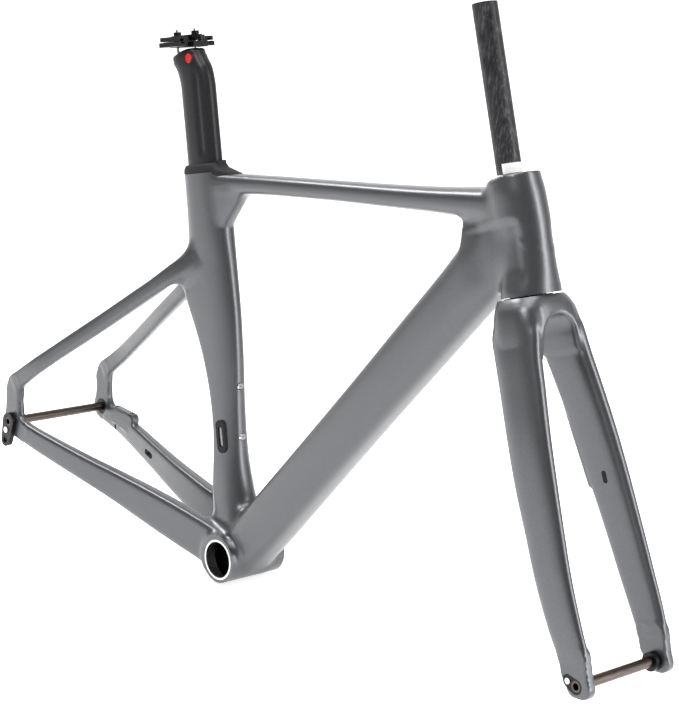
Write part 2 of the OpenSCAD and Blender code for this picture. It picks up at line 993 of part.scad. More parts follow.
module bend_slice(t, up = 0) {
    bend_frame(t, up)
        section(post_h, post_h, post_w, 2.5, post_slice);
}

module seatpost() {
    color(carbon_black)
        union() {
            hull()
                for (height = [-post_in, post_out])
                    seat_frame()
                        translate([0, 0, seat_len + height])
                            section(post_h, post_h, post_w, 2.5, post_slice);
            for (i = [0:bend_steps - 1])
                hull() {
                    bend_slice(i / bend_steps);
                    bend_slice((i + 1) / bend_steps);
                }
        }
}

// Head of the post, with the barrel's cross hole and slots for the two bolts
module seatpost_head() {
    color(carbon_black)
        difference() {
            hull() {
                bend_slice(1, bond + post_slice);
                post_head_frame() {
                    translate([barrel_x, 0, barrel_z])
                        across(knuckle_r - 3, 2 * post_w - 1, 48);
                    translate([-14, 0, barrel_z + 1])
                        across(8.5, 2 * post_w - 2, 48);
                }
            }
            bend_frame(1, bond + 2 * post_slice - 60)
                cube([120, 120, 120], center = true);
            clamp_frame() {
                across(barrel_r + run_fit, 60);
                translate([0, 0, -12])
                    cylinder(r = 4.6, h = 60, $fn = round_fn);
                translate([-bolt_back, 0, 4])
                    cylinder(r = 5, h = 40, $fn = round_fn);
            }
        }
}

// Turns its children with the clamp, about the barrel
module clamp_frame() {
    post_head_frame()
        translate([barrel_x, 0, barrel_z])
            rotate([0, head_bend - clamp_tilt, 0])
                children();
}

module pivot_barrel() {
    color("#c8242b")
        clamp_frame()
            difference() {
                across(barrel_r, 2 * post_w - 1);
                translate([0, 0, -20])
                    cylinder(r = bolt_r + 0.05, h = 40, $fn = round_fn);
            }
}

module rails(grow = 0, len = 90) {
    for (s = [-1, 1])
        translate([-18, s * rail_gap / 2, rail_z])
            rotate([0, 90, 0])
                cylinder(r = rail_d / 2 + grow, h = len, center = true, $fn = round_fn);
}

// Lower half of the rail clamp, rocking on the post's round knuckle
module rail_cradle() {
    color(carbon_black)
        clamp_frame()
            difference() {
                union() {
                    hull() {
                        translate([-40, -11, rail_z - 7])
                            cube([50, 22, 6.5]);
                        translate([-10, -11, knuckle_r + 1])
                            cube([20, 22, 3]);
                    }
                    translate([-38, -rail_gap / 2 - 7, rail_z - 6.5])
                        cube([40, rail_gap + 14, 6]);
                }
                rails();
                across(knuckle_r + 0.4, 80);
                for (dx = [0, -bolt_back])
                    translate([dx, 0, -30])
                        cylinder(r = bolt_r + 0.15, h = 90, $fn = round_fn);
            }
}

// Upper half, one cap across both rails with an ear at each end
module rail_cap() {
    color(carbon_black)
        clamp_frame()
            difference() {
                union() {
                    translate([-36, -rail_gap / 2 - 6.5, rail_z + 0.5])
                        cube([36, rail_gap + 13, 5.5]);
                    hull()
                        for (dx = [0, -bolt_back])
                            translate([dx, 0, rail_z + 0.5])
                                cylinder(r = 8.5, h = 7.5, $fn = 48);
                    for (dx = ear_places)
                        hull() {
                            translate([dx, 0, rail_z + 1.5])
                                cylinder(r = 6, h = 4, $fn = 32);
                            translate([dx > 0 ? 6 : -42, 0, rail_z + 1])
                                cylinder(r = 8, h = 6, $fn = 32);
                        }
                }
                rails();
                for (dx = [0, -bolt_back])
                    translate([dx, 0, -30])
                        cylinder(r = bolt_r + 0.15, h = 90, $fn = round_fn);
                for (dx = ear_places)
                    translate([dx, 0, 0])
                        cylinder(r = 2.6, h = 60, $fn = 48);
            }
}

module clamp_bolts() {
    color("silver")
        clamp_frame() {
            translate([0, 0, -6.5])
                cylinder(r = bolt_r, h = rail_z + 22, $fn = round_fn);
            translate([-bolt_back, 0, 8])
                cylinder(r = bolt_r, h = rail_z + 8, $fn = round_fn);
        }
}

module clamp_nut() {
    color("#2b2b2d")
        clamp_frame()
            for (dx = [0, -bolt_back])
                translate([dx, 0, rail_z + 8.1])
                    difference() {
                        cylinder(r = 5, h = 4.6, $fn = 12);
                        translate([0, 0, -1])
                            cylinder(r = bolt_r + 0.05, h = 20, $fn = round_fn);
                    }
}

// ---- Through-axles, drawn from the left ----

module through_axle(x, y_end, y_head, head_r) {
    difference() {
        union() {
            rod_y(x, bb_drop, axle_r, y_end, y_head);
            rod_y(x, bb_drop, head_r, y_head + 0.1, y_head + 4);
            rod_y(x, bb_drop, axle_r - 1, y_head - 1, y_head + 1);
        }
        translate([x, y_end - 1, bb_drop])
            rotate([-90, 0, 0])
                cylinder(r = axle_r - 2, h = 30, $fn = round_fn);
        translate([x, y_head - 5, bb_drop])
            rotate([-90, 0, 0])
                cylinder(r = 3.4, h = 12, $fn = 6);
    }
}

module rear_axle() {
    color("#4a423c")
        through_axle(rear_x, -rear_in - dropout_t - hanger_t + 0.5, rear_in + dropout_t, axle_r + 3.5);
}

module front_axle() {
    color("#4a423c")
        through_axle(front_x, nut_face + 0.5, end_in + end_t, axle_r + 3.5);
}

head_tube();
top_tube();
down_tube();
seat_tube();
bb_shell();
bb_sleeve();
chainstay_right();
chainstay_left();
seatstay_right();
seatstay_left();
dropout_right();
dropout_left();
axle_bush_rear();
derailleur_hanger();
hanger_bolt();
brake_mount_rear();
port_cover();
port_plug();
bottle_rivnuts();
bottle_bolts();
seat_collar();
seat_wedge();
seat_wedge_bolt();
upper_bearing_cup();
lower_bearing_cup();
steerer();
fork_crown();
fork_blade_right();
fork_blade_left();
fork_end_right();
fork_end_left();
axle_nut_front();
axle_nut_screw();
axle_bush_front();
brake_mount_front();
hose_grommet();
upper_bearing_ring();
lower_bearing_ring();
compression_ring();
crown_race();
seatpost();
seatpost_head();
pivot_barrel();
rail_cradle();
rail_cap();
clamp_bolts();
clamp_nut();
rear_axle();
front_axle();
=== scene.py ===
import math

import bmesh
import bpy
import numpy as np
from mathutils import Matrix, Vector


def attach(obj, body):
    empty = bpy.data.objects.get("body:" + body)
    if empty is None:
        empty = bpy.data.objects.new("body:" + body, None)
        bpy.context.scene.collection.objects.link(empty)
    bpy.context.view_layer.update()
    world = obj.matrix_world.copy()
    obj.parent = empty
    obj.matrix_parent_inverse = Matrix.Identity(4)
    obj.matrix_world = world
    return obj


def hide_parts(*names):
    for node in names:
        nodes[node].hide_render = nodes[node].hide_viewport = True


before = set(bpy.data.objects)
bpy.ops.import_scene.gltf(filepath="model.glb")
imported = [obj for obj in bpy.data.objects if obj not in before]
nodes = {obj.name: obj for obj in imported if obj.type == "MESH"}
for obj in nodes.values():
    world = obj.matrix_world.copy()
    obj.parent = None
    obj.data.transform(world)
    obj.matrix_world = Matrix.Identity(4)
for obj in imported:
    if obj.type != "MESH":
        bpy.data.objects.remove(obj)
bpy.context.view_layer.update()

# ---------------------------------------------------------------- sizes, in mm
BB_DROP, CHAINSTAY, REACH = 72.0, 414.0, 384.0
HEAD_ANGLE, HEAD_LEN = 70.5, 132.0
SEAT_ANGLE, SEAT_OFFSET, SEAT_LEN = 75.4, 7.0, 494.0
FORK_LEN, FORK_RAKE = 412.0, 50.0
STEERER_R = 14.3
REAR_IN, FRONT_IN, DROPOUT_T, AXLE_R = 71.0, 50.0, 10.0, 6.0
BB_WIDTH, SHELL_R, SLEEVE_R = 86.5, 29.3, 25.4
WHEEL_CLEAR = 357.0
POST_H, POST_W, POST_OUT = 27.5, 14.0, 96.0
POST_FIT, BORE_FIT = 0.35, 0.05
SEAT_TRIM = 10.0
LOW_SEAT_R, LOW_SEAT_H, LOW_LIP_R = 26.05, 8.5, 22.5
UP_SEAT_R, UP_SEAT_Z, HEAD_BORE_R, HEAD_BORE_Z = 20.95, 122.5, 18, 72
HOLE_R, REAR_HOLE_HALF, FRONT_HOLE_HALF = 2.6, 17, 35
RECESS_R, BOTTLE_GAP, SEAT_BOTTLE, DOWN_BOTTLE = 5.0, 64, 0.43, 0.36
PORT_AT, PORT_HALF, PORT_R = 0.305, 13, 8.05
LEDGE_S, LEDGE_SLOPE, PANEL_SINK = 85, 0.04, 3.8
ARCH_R, ARCH_S, ARCH_SPREAD = 24.0, -48, 0.19
FRAME_GRID, FORK_GRID, POST_GRID, COLLAR_GRID = 2.6, 2.2, 2.0, 1.5
MM = 0.001
HAND, SAND = math.sin(math.radians(HEAD_ANGLE)), math.cos(math.radians(HEAD_ANGLE))
SEN, SEC = math.sin(math.radians(SEAT_ANGLE)), math.cos(math.radians(SEAT_ANGLE))

rear_x = -math.sqrt(CHAINSTAY**2 - BB_DROP**2)
fork_down = math.sqrt(FORK_LEN**2 - FORK_RAKE**2)
crown_x = REACH + HEAD_LEN * SAND
crown_z = BB_DROP + (fork_down + HEAD_LEN) * HAND - FORK_RAKE * SAND - HEAD_LEN * HAND
front_x = crown_x + fork_down * SAND + FORK_RAKE * HAND
STEER_UP, STEER_FWD = (-SAND, HAND), (HAND, SAND)
SEAT_UP, SEAT_FWD = (-SEC, SEN), (SEN, SEC)
END_IN, END_T = FRONT_IN + 8.5, DROPOUT_T + 2
STAY_Y = REAR_IN + DROPOUT_T / 2


def on_steer(s, n=0.0):
    return crown_x - s * SAND + n * HAND, crown_z + s * HAND + n * SAND


def on_seat(s, n=0.0):
    return -SEAT_OFFSET - s * SEC + n * SEN, s * SEN + n * SEC


# ---------------------------------------------------------------- signed distance shapes
def pchip(xs, ys):
    """Smooth, never overshooting curve through the points, as a function of an array."""
    xs, ys = np.asarray(xs, float), np.asarray(ys, float)
    h, dy = np.diff(xs), np.diff(ys)
    dl = dy / h
    m = np.zeros_like(ys)
    if len(xs) > 2:
        w1, w2 = 2 * h[1:] + h[:-1], h[1:] + 2 * h[:-1]
        same = dl[:-1] * dl[1:] > 0
        safe = np.where(same, dl[:-1], 1.0), np.where(same, dl[1:], 1.0)
        m[1:-1] = np.where(same, (w1 + w2) / (w1 / safe[0] + w2 / safe[1]), 0)
    m[0], m[-1] = dl[0], dl[-1]

    def f(x):
        x = np.clip(x, xs[0], xs[-1])
        i = np.clip(np.searchsorted(xs, x) - 1, 0, len(xs) - 2)
        t = (x - xs[i]) / h[i]
        t2, t3 = t * t, t * t * t
        return (
            (2 * t3 - 3 * t2 + 1) * ys[i]
            + (t3 - 2 * t2 + t) * h[i] * m[i]
            + (3 * t2 - 2 * t3) * ys[i + 1]
            + (t3 - t2) * h[i] * m[i + 1]
        )

    return f


def step(a, b, x):
    t = np.clip((x - a) / (b - a), 0, 1)
    return t * t * (3 - 2 * t)


def soft_max(a, b, k):
    h = np.maximum(k - np.abs(a - b), 0) / k
    return np.maximum(a, b) + h * h * k * 0.25


def soft_min(a, b, k):
    return -soft_max(-a, -b, k)


class Loft:
    """Rounded-box sections along a straight line in the side view.

    Each row is (along, forward, back, half width, side, power)."""

    def __init__(self, start, up, fwd, rows, round_end=2.0, bevel=None):
        self.o, self.u, self.f, self.bevel = start, up, fwd, bevel
        rows = np.array(rows, float)
        self.s0, self.s1 = rows[0, 0], rows[-1, 0]
        self.curves = [pchip(rows[:, 0], rows[:, c]) for c in range(1, 6)]
        self.k = round_end
        pts = []
        for s, a, b, w, y, _ in rows:
            for n in (a, -b):
                for q in (y - w, y + w):
                    pts.append((start[0] + s * up[0] + n * fwd[0], q, start[1] + s * up[1] + n * fwd[1]))
        self.lo, self.hi = np.min(pts, 0), np.max(pts, 0)

    def __call__(self, p):
        x, z = p[:, 0] - self.o[0], p[:, 2] - self.o[1]
        s = x * self.u[0] + z * self.u[1]
        a = x * self.f[0] + z * self.f[1]
        ahead, back, w, y, n = (c(s) for c in self.curves)
        h = (ahead + back) / 2
        aa, bb = (a - (ahead - back) / 2) / h, (p[:, 1] - y) / w
        ua, ub = np.abs(aa) + 1e-6, np.abs(bb) + 1e-6
        r = (ua**n + ub**n) ** (1 / n)
        ga = np.sign(aa) * (ua / r) ** (n - 1) / h
        gb = np.sign(bb) * (ub / r) ** (n - 1) / w
        g = np.sqrt(ga * ga + gb * gb)
        d = (r - 1) / g
        d = soft_max(soft_max(d, self.s0 - s, self.k), s - self.s1, self.k)
        normal = np.stack([ga / g * self.f[0], gb / g, ga / g * self.f[1]], 1)
        if self.bevel:
            high, deep, side = self.bevel
            size = math.hypot(high, deep)
            q = ((a - ahead + high) * deep + (side * (p[:, 1] - y) - w) * high) / size
            face = np.array([self.f[0] * deep, side * high, self.f[1] * deep]) / size
            on = step(-0.6, 0.6, q - d)[:, None]
            normal = normal * (1 - on) + face * on
            d = soft_max(d, q, 0.9)
        return d, normal


class Plate:
    """A flat plate square to Y, outlined by discs that are joined in pairs."""

    def __init__(self, discs, y0, y1, edge=2.5, bevel=None):
        self.discs, self.y, self.h, self.k = discs, (y0 + y1) / 2, abs(y1 - y0) / 2, edge
        self.bevel = bevel
        r = max(d[2] for d in discs)
        xs, zs = [d[0] for d in discs], [d[1] for d in discs]
        self.lo = np.array([min(xs) - r, min(y0, y1), min(zs) - r])
        self.hi = np.array([max(xs) + r, max(y0, y1), max(zs) + r])

    def outline(self, x, z):
        best, bx, bz = None, None, None
        for (x0, z0, r0), (x1, z1, r1) in zip(self.discs, self.discs[1:]):
            dx, dz = x1 - x0, z1 - z0
            t = np.clip(((x - x0) * dx + (z - z0) * dz) / (dx * dx + dz * dz), 0, 1)
            qx, qz = x - x0 - t * dx, z - z0 - t * dz
            length = np.sqrt(qx * qx + qz * qz) + 1e-6
            d = length - (r0 + (r1 - r0) * t)
            if best is None:
                best, bx, bz = d, qx / length, qz / length
            else:
                pick = d < best
                best = soft_min(best, d, 6.0)
                bx, bz = np.where(pick, qx / length, bx), np.where(pick, qz / length, bz)
        return best, bx, bz

    def __call__(self, p):
        d2, bx, bz = self.outline(p[:, 0], p[:, 2])
        dy = np.abs(p[:, 1] - self.y) - self.h
        d = soft_max(d2, dy, self.k)
        side = step(-4, 4, dy - d2)
        n = np.stack([bx * (1 - side), np.sign(p[:, 1] - self.y) * side, bz * (1 - side)], 1)
        if self.bevel:
            high, deep, out, to_x, to_z = self.bevel
            facing = step(0.0, 0.45, bx * to_x + bz * to_z)
            size = math.hypot(high, deep)
            q = ((d2 + high) * deep + (out * (p[:, 1] - self.y) - self.h) * high) / size - 30 * (1 - facing)
            d = soft_max(d, q, 0.9)
        return d, n / (np.linalg.norm(n, axis=1, keepdims=True) + 1e-6)


class Shape:
    """Smooth union of parts, with softer or harder joins, then soft cuts and surface offsets."""

    def __init__(self):
        self.parts, self.after, self.margin = [], [], 26.0

    def add(self, part, k):
        self.parts.append((part, k))
        return self

    def then(self, f, lo=None, hi=None):
        self.after.append((f, lo, hi))
        return self

    def box(self):
        return np.min([q.lo for q, _ in self.parts], 0) - 6, np.max([q.hi for q, _ in self.parts], 0) + 6

    def __call__(self, p):
        d = np.full(len(p), 60.0)
        n = np.zeros((len(p), 3))
        n[:, 2] = 1
        for part, k in self.parts:
            near = np.all((p > part.lo - self.margin) & (p < part.hi + self.margin), axis=1)
            if not near.any():
                continue
            e, m = part(p[near])
            a, na = d[near], n[near]
            kk = k * np.minimum(1, 1.25 * np.sqrt(np.maximum(1 - (na * m).sum(1), 0) / 2)) + 0.02
            h = np.clip(0.5 + 0.5 * (e - a) / kk, 0, 1)
            d[near] = e * (1 - h) + a * h - kk * h * (1 - h)
            mix = m * (1 - h)[:, None] + na * h[:, None]
            n[near] = mix / (np.linalg.norm(mix, axis=1, keepdims=True) + 1e-6)
        for f, lo, hi in self.after:
            if lo is None:
                d = f(p, d)
            else:
                near = np.all((p > np.array(lo)) & (p < np.array(hi)), axis=1)
                if near.any():
                    d[near] = f(p[near], d[near])
        return d


def field(shape, h):
    """Samples the shape on a grid of step h, in full only near its surface."""
    lo, hi = shape.box()
    big = 4
    cells = np.ceil((hi - lo) / (h * big)).astype(int) + 1
    axes = [lo[i] + np.arange(cells[i]) * h * big for i in range(3)]
    grid = np.stack(np.meshgrid(*axes, indexing="ij"), -1).reshape(-1, 3) + h * big / 2
    coarse = np.concatenate([shape(c) for c in np.array_split(grid, 8)]).reshape(cells)
    near = np.abs(coarse) < h * big * 1.35 + 2
    full = np.repeat(np.repeat(np.repeat(np.where(coarse < 0, -9.0, 9.0), big, 0), big, 1), big, 2)
    i, j, k = np.nonzero(near)
    off = np.stack(np.meshgrid(*[np.arange(big)] * 3, indexing="ij"), -1).reshape(-1, 3)
    cell = (np.stack([i, j, k], 1)[:, None, :] * big + off[None]).reshape(-1, 3)
    values = [shape(lo + c * h) for c in np.array_split(cell, max(1, len(cell) // 400000))]
    full[cell[:, 0], cell[:, 1], cell[:, 2]] = np.concatenate(values)
    return full, lo


def nets(full, lo, h):
    """Surface nets: one vertex in each cell that the surface crosses, one quad round each crossed edge."""
    inside = full < 0
    count = np.zeros(np.array(full.shape) - 1, np.int8)
    corners = [(a, b, c) for a in (0, 1) for b in (0, 1) for c in (0, 1)]
    nx, ny, nz = count.shape
    for a, b, c in corners:
        count += inside[a : a + nx, b : b + ny, c : c + nz]
    cell = np.stack(np.nonzero((count > 0) & (count < 8)), 1)
    index = -np.ones(count.shape, np.int64)
    index[cell[:, 0], cell[:, 1], cell[:, 2]] = np.arange(len(cell))
    total, hits = np.zeros((len(cell), 3)), np.zeros(len(cell))
    for p in corners:
        for axis in range(3):
            if p[axis]:
                continue
            q = list(p)
            q[axis] = 1
            v0 = full[cell[:, 0] + p[0], cell[:, 1] + p[1], cell[:, 2] + p[2]]
            v1 = full[cell[:, 0] + q[0], cell[:, 1] + q[1], cell[:, 2] + q[2]]
            cross = (v0 < 0) != (v1 < 0)
            t = np.where(cross, v0 / np.where(cross, v0 - v1, 1), 0)
            at = np.tile(np.array(p, float), (len(cell), 1))
            at[:, axis] += t
            total += at * cross[:, None]
            hits += cross
    verts = lo + (cell + total / hits[:, None]) * h
    quads = []
    for axis in range(3):
        b, c = (axis + 1) % 3, (axis + 2) % 3
        here = [slice(None)] * 3
        there = [slice(None)] * 3
        here[axis], there[axis] = slice(0, -1), slice(1, None)
        here[b] = there[b] = slice(1, -1)
        here[c] = there[c] = slice(1, -1)
        i0, i1 = inside[tuple(here)], inside[tuple(there)]
        e = np.stack(np.nonzero(i0 != i1), 1)
        flip = i0[e[:, 0], e[:, 1], e[:, 2]]
        e[:, b] += 1
        e[:, c] += 1
        ring = []
        for db, dc in ((-1, -1), (0, -1), (0, 0), (-1, 0)):
            v = e.copy()
            v[:, b] += db
            v[:, c] += dc
            ring.append(index[v[:, 0], v[:, 1], v[:, 2]])
        ring = np.stack(ring, 1)
        ring[~flip] = ring[~flip][:, ::-1]
        quads.append(ring)
    return verts, np.concatenate(quads)


def settle(shape, verts, quads, h, rounds=3):
    """Moves vertices onto the exact surface and evens out the net."""

    def onto(v, times):
        for _ in range(times):
            g = np.empty_like(v)
            for axis in range(3):
                e = np.zeros(3)
                e[axis] = 0.25
                g[:, axis] = (shape(v + e) - shape(v - e)) / 0.5
            d = shape(v)
            gg = np.maximum((g * g).sum(1), 0.3)
            move = -(d / gg)[:, None] * g
            size = np.linalg.norm(move, axis=1, keepdims=True)
            v = v + move * np.minimum(1, h * 0.6 / np.maximum(size, 1e-9))
        return v

    edges = np.concatenate([quads[:, [0, 1]], quads[:, [1, 2]], quads[:, [2, 3]], quads[:, [3, 0]]])
    edges = np.concatenate([edges, edges[:, ::-1]])
    degree = np.bincount(edges[:, 0], minlength=len(verts))
    for _ in range(rounds):
        sums = [np.bincount(edges[:, 0], verts[edges[:, 1], c], len(verts)) for c in range(3)]
        around = np.stack(sums, 1)
        verts = verts + 0.5 * (around / degree[:, None] - verts)
        verts = onto(verts, 2)
    return verts


def new_object(name, mesh):
    o = bpy.data.objects.new(name, mesh)
    bpy.context.scene.collection.objects.link(o)
    return o


def mesh_object(name, verts_mm, faces):
    mesh = bpy.data.meshes.new(name)
    mesh.from_pydata((np.asarray(verts_mm) * MM).tolist(), [], np.asarray(faces).tolist())
    mesh.validate()
    mesh.update()
    return new_object(name, mesh)


def solid_of(name, shape, h, rounds=3):
    full, lo = field(shape, h)
    verts, quads = nets(full, lo, h)
    verts = settle(shape, verts, quads, h, rounds)
    return mesh_object(name, verts, quads)


# ---------------------------------------------------------------- exact cutters
def side_matrix(origin, up, fwd):
    """Local x forward, y across, z up along a line of the side view."""
    return Matrix(
        (
            (fwd[0], 0, up[0], origin[0] * MM),
            (0, 1, 0, 0),
            (fwd[1], 0, up[1], origin[1] * MM),
            (0, 0, 0, 1),
        )
    )


STEER = side_matrix((crown_x, crown_z), STEER_UP, STEER_FWD)
SEAT = side_matrix((-SEAT_OFFSET, 0), SEAT_UP, SEAT_FWD)
WORLD = Matrix.Identity(4)
TURN = Matrix(((0, 0, 1, 0), (0, 1, 0, 0), (1, 0, 0, 0), (0, 0, 0, 1)))


def prism(outline, z0, z1, matrix=WORLD, along="Z"):
    """Closed prism over an outline in mm; along Y the outline is (x, z)."""
    n = len(outline)
    verts = []
    for z in (z0, z1):
        for a, b in outline:
            verts.append((a, b, z) if along == "Z" else (a, z, b))
    faces = [list(range(n)), list(range(n, 2 * n))]
    faces += [[i, (i + 1) % n, n + (i + 1) % n, n + i] for i in range(n)]
    bm = bmesh.new()
    vs = [bm.verts.new(matrix @ Vector([c * MM for c in v])) for v in verts]
    for f in faces:
        bm.faces.new([vs[i] for i in f])
    bmesh.ops.recalc_face_normals(bm, faces=bm.faces)
    return bm


def circle(cx, cy, r, n=64):
    turns = [2 * math.pi * i / n for i in range(n)]
    return [(cx + r * math.cos(a), cy + r * math.sin(a)) for a in turns]


def slot_outline(cx, cy, half, r, angle=0.0, n=20):
    pts = []
    ca, sa = math.cos(math.radians(angle)), math.sin(math.radians(angle))
    for end, start in ((1, -90), (-1, 90)):
        for i in range(n + 1):
            t = math.radians(start + 180 * i / n)
            x, y = end * half + r * math.cos(t), r * math.sin(t)
            pts.append((cx + x * ca - y * sa, cy + x * sa + y * ca))
    return pts


def superellipse(ahead, back, w, power, n=96):
    pts = []
    for i in range(n):
        a = 2 * math.pi * i / n
        c, s = math.cos(a), math.sin(a)
        x = math.copysign(abs(c) ** (2 / power), c) * (ahead if c > 0 else back)
        pts.append((x, w * math.copysign(abs(s) ** (2 / power), s)))
    return pts


def lathe(profile, matrix, n=96):
    """Closed solid of revolution about local z.

    The (radius, z) points are in mm and start and end on the axis."""
    bm = bmesh.new()
    rings = []
    for r, z in profile:
        points = [(0, 0)] if r < 1e-6 else circle(0, 0, r, n)
        rings.append([bm.verts.new(matrix @ Vector((x * MM, y * MM, z * MM))) for x, y in points])
    for a, b in zip(rings, rings[1:]):
        for i in range(n):
            j = (i + 1) % n
            if len(a) == 1:
                bm.faces.new([a[0], b[i], b[j]])
            elif len(b) == 1:
                bm.faces.new([a[i], b[0], a[j]])
            else:
                bm.faces.new([a[i], b[i], b[j], a[j]])
    bmesh.ops.recalc_face_normals(bm, faces=bm.faces)
    return bm


def carve(obj, cutters):
    """Takes closed cutters away from obj, one exact boolean each."""
    for bm in cutters:
        mesh = bpy.data.meshes.new("cutter")
        bm.to_mesh(mesh)
        bm.free()
        tool = new_object("cutter", mesh)
        mod = obj.modifiers.new("cut", "BOOLEAN")
        mod.operation, mod.object, mod.solver = "DIFFERENCE", tool, "MANIFOLD"
        bpy.context.view_layer.update()
        cut = bpy.data.meshes.new_from_object(obj.evaluated_get(bpy.context.evaluated_depsgraph_get()))
        old = obj.data
        obj.modifiers.clear()
        obj.data = cut
        bpy.data.meshes.remove(old)
        bpy.data.objects.remove(tool)
        bpy.data.meshes.remove(mesh)


def finish_piece(obj, mat, body, replaces=(), angle=32.0):
    obj.data.materials.clear()
    obj.data.materials.append(mat)
    for poly in obj.data.polygons:
        poly.use_smooth = True
    obj.data.set_sharp_from_angle(angle=math.radians(angle))
    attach(obj, body)
    if replaces:
        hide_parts(*replaces)
    return obj


# ---------------------------------------------------------------- materials
def material(name, color, metallic=0.0, rough=0.4, **extra):
    m = bpy.data.materials.new(name)
    m.use_nodes = True
    nt = m.node_tree
    b = nt.nodes["Principled BSDF"]
    b.inputs["Base Color"].default_value = (*color, 1)
    b.inputs["Metallic"].default_value = metallic
    b.inputs["Roughness"].default_value = rough
    for k, v in extra.items():
        b.inputs[k.replace("_", " ")].default_value = v
    return m, nt, b


def link(nt, a, b):
    nt.links.new(a, b)


def noise(nt, scale, detail=2.0, rough=0.5):
    co = nt.nodes.new("ShaderNodeTexCoord")
    n = nt.nodes.new("ShaderNodeTexNoise")
    n.inputs["Scale"].default_value = scale
    n.inputs["Detail"].default_value = detail
    n.inputs["Roughness"].default_value = rough
    link(nt, co.outputs["Object"], n.inputs["Vector"])
    return n, co


def ramp(nt, source, stops):
    r = nt.nodes.new("ShaderNodeValToRGB")
    e = r.color_ramp.elements
    while len(e) < len(stops):
        e.new(0.5)
    for el, (pos, col) in zip(e, stops):
        el.position = pos
        el.color = (*col, 1) if len(col) == 3 else col
    link(nt, source, r.inputs["Fac"])
    return r


def spread(nt, source, low, high):
    m = nt.nodes.new("ShaderNodeMapRange")
    m.inputs["To Min"].default_value, m.inputs["To Max"].default_value = low, high
    link(nt, source, m.inputs["Value"])
    return m.outputs["Result"]


def bump(nt, b, height, strength, distance):
    n = nt.nodes.new("ShaderNodeBump")
    n.inputs["Strength"].default_value = strength
    n.inputs["Distance"].default_value = distance
    link(nt, height, n.inputs["Height"])
    link(nt, n.outputs["Normal"], b.inputs["Normal"])


def grey_paint():
    m, nt, b = material("paint_satin_grey", (0.16, 0.165, 0.175), 0.75, 0.36)
    b.inputs["Coat Weight"].default_value = 0.35
    b.inputs["Coat Roughness"].default_value = 0.28
    flake, _ = noise(nt, 2600, 2, 0.6)
    cloud, _ = noise(nt, 9, 3, 0.55)
    stops = [(0.3, (0.048, 0.05, 0.054)), (0.5, (0.066, 0.068, 0.073)), (0.72, (0.11, 0.113, 0.12))]
    tone = ramp(nt, flake.outputs["Fac"], stops)
    link(nt, tone.outputs["Color"], b.inputs["Base Color"])
    link(nt, spread(nt, cloud.outputs["Fac"], 0.32, 0.42), b.inputs["Roughness"])
    bump(nt, b, flake.outputs["Fac"], 0.12, 0.0002)
    return m


def black_carbon():
    m, nt, b = material("carbon_satin_black", (0.012, 0.012, 0.013), 0.0, 0.34, Specular_IOR_Level=0.16)
    grain, _ = noise(nt, 900, 3, 0.6)
    cloud, _ = noise(nt, 14, 2, 0.5)
    tone = ramp(nt, grain.outputs["Fac"], [(0.35, (0.009, 0.009, 0.01)), (0.7, (0.018, 0.018, 0.02))])
    link(nt, tone.outputs["Color"], b.inputs["Base Color"])
    link(nt, spread(nt, cloud.outputs["Fac"], 0.26, 0.38), b.inputs["Roughness"])
    bump(nt, b, grain.outputs["Fac"], 0.15, 0.0002)
    return m


def raw_carbon():
    m, nt, b = material("carbon_raw", (0.03, 0.03, 0.031), 0.05, 0.42, Specular_IOR_Level=0.2)
    co = nt.nodes.new("ShaderNodeTexCoord")
    turn = nt.nodes.new("ShaderNodeMapping")
    turn.inputs["Rotation"].default_value = (0, math.radians(90 - HEAD_ANGLE), 0)
    turn.inputs["Scale"].default_value = (1, 1, 0.12)
    link(nt, co.outputs["Object"], turn.inputs["Vector"])
    fibre = nt.nodes.new("ShaderNodeTexNoise")
    fibre.inputs["Scale"].default_value = 420
    fibre.inputs["Detail"].default_value = 4
    link(nt, turn.outputs["Vector"], fibre.inputs["Vector"])
    patch, _ = noise(nt, 55, 4, 0.65)
    mix = nt.nodes.new("ShaderNodeMath")
    mix.operation = "MULTIPLY"
    link(nt, fibre.outputs["Fac"], mix.inputs[0])
    link(nt, patch.outputs["Fac"], mix.inputs[1])
    stops = [(0.14, (0.008, 0.008, 0.009)), (0.27, (0.022, 0.022, 0.024)), (0.42, (0.07, 0.07, 0.072))]
    tone = ramp(nt, mix.outputs[0], stops)
    link(nt, tone.outputs["Color"], b.inputs["Base Color"])
    link(nt, spread(nt, patch.outputs["Fac"], 0.3, 0.6), b.inputs["Roughness"])
    bump(nt, b, mix.outputs[0], 0.25, 0.0003)
    return m


def metal(name, color, rough, grain_scale=900, streak=None, metallic=1.0, coat=0.0):
    m, nt, b = material(name, color, metallic, rough)
    b.inputs["Coat Weight"].default_value = coat
    grain, co = noise(nt, grain_scale, 3, 0.6)
    if streak:
        scale = nt.nodes.new("ShaderNodeMapping")
        scale.inputs["Scale"].default_value = streak
        link(nt, co.outputs["Object"], scale.inputs["Vector"])
        link(nt, scale.outputs["Vector"], grain.inputs["Vector"])
    dark, bright = [c * 0.82 for c in color], [min(1, c * 1.15) for c in color]
    tone = ramp(nt, grain.outputs["Fac"], [(0.3, dark), (0.7, bright)])
    link(nt, tone.outputs["Color"], b.inputs["Base Color"])
    link(nt, spread(nt, grain.outputs["Fac"], rough * 0.8, rough * 1.25), b.inputs["Roughness"])
    bump(nt, b, grain.outputs["Fac"], 0.08, 0.0001)
    return m


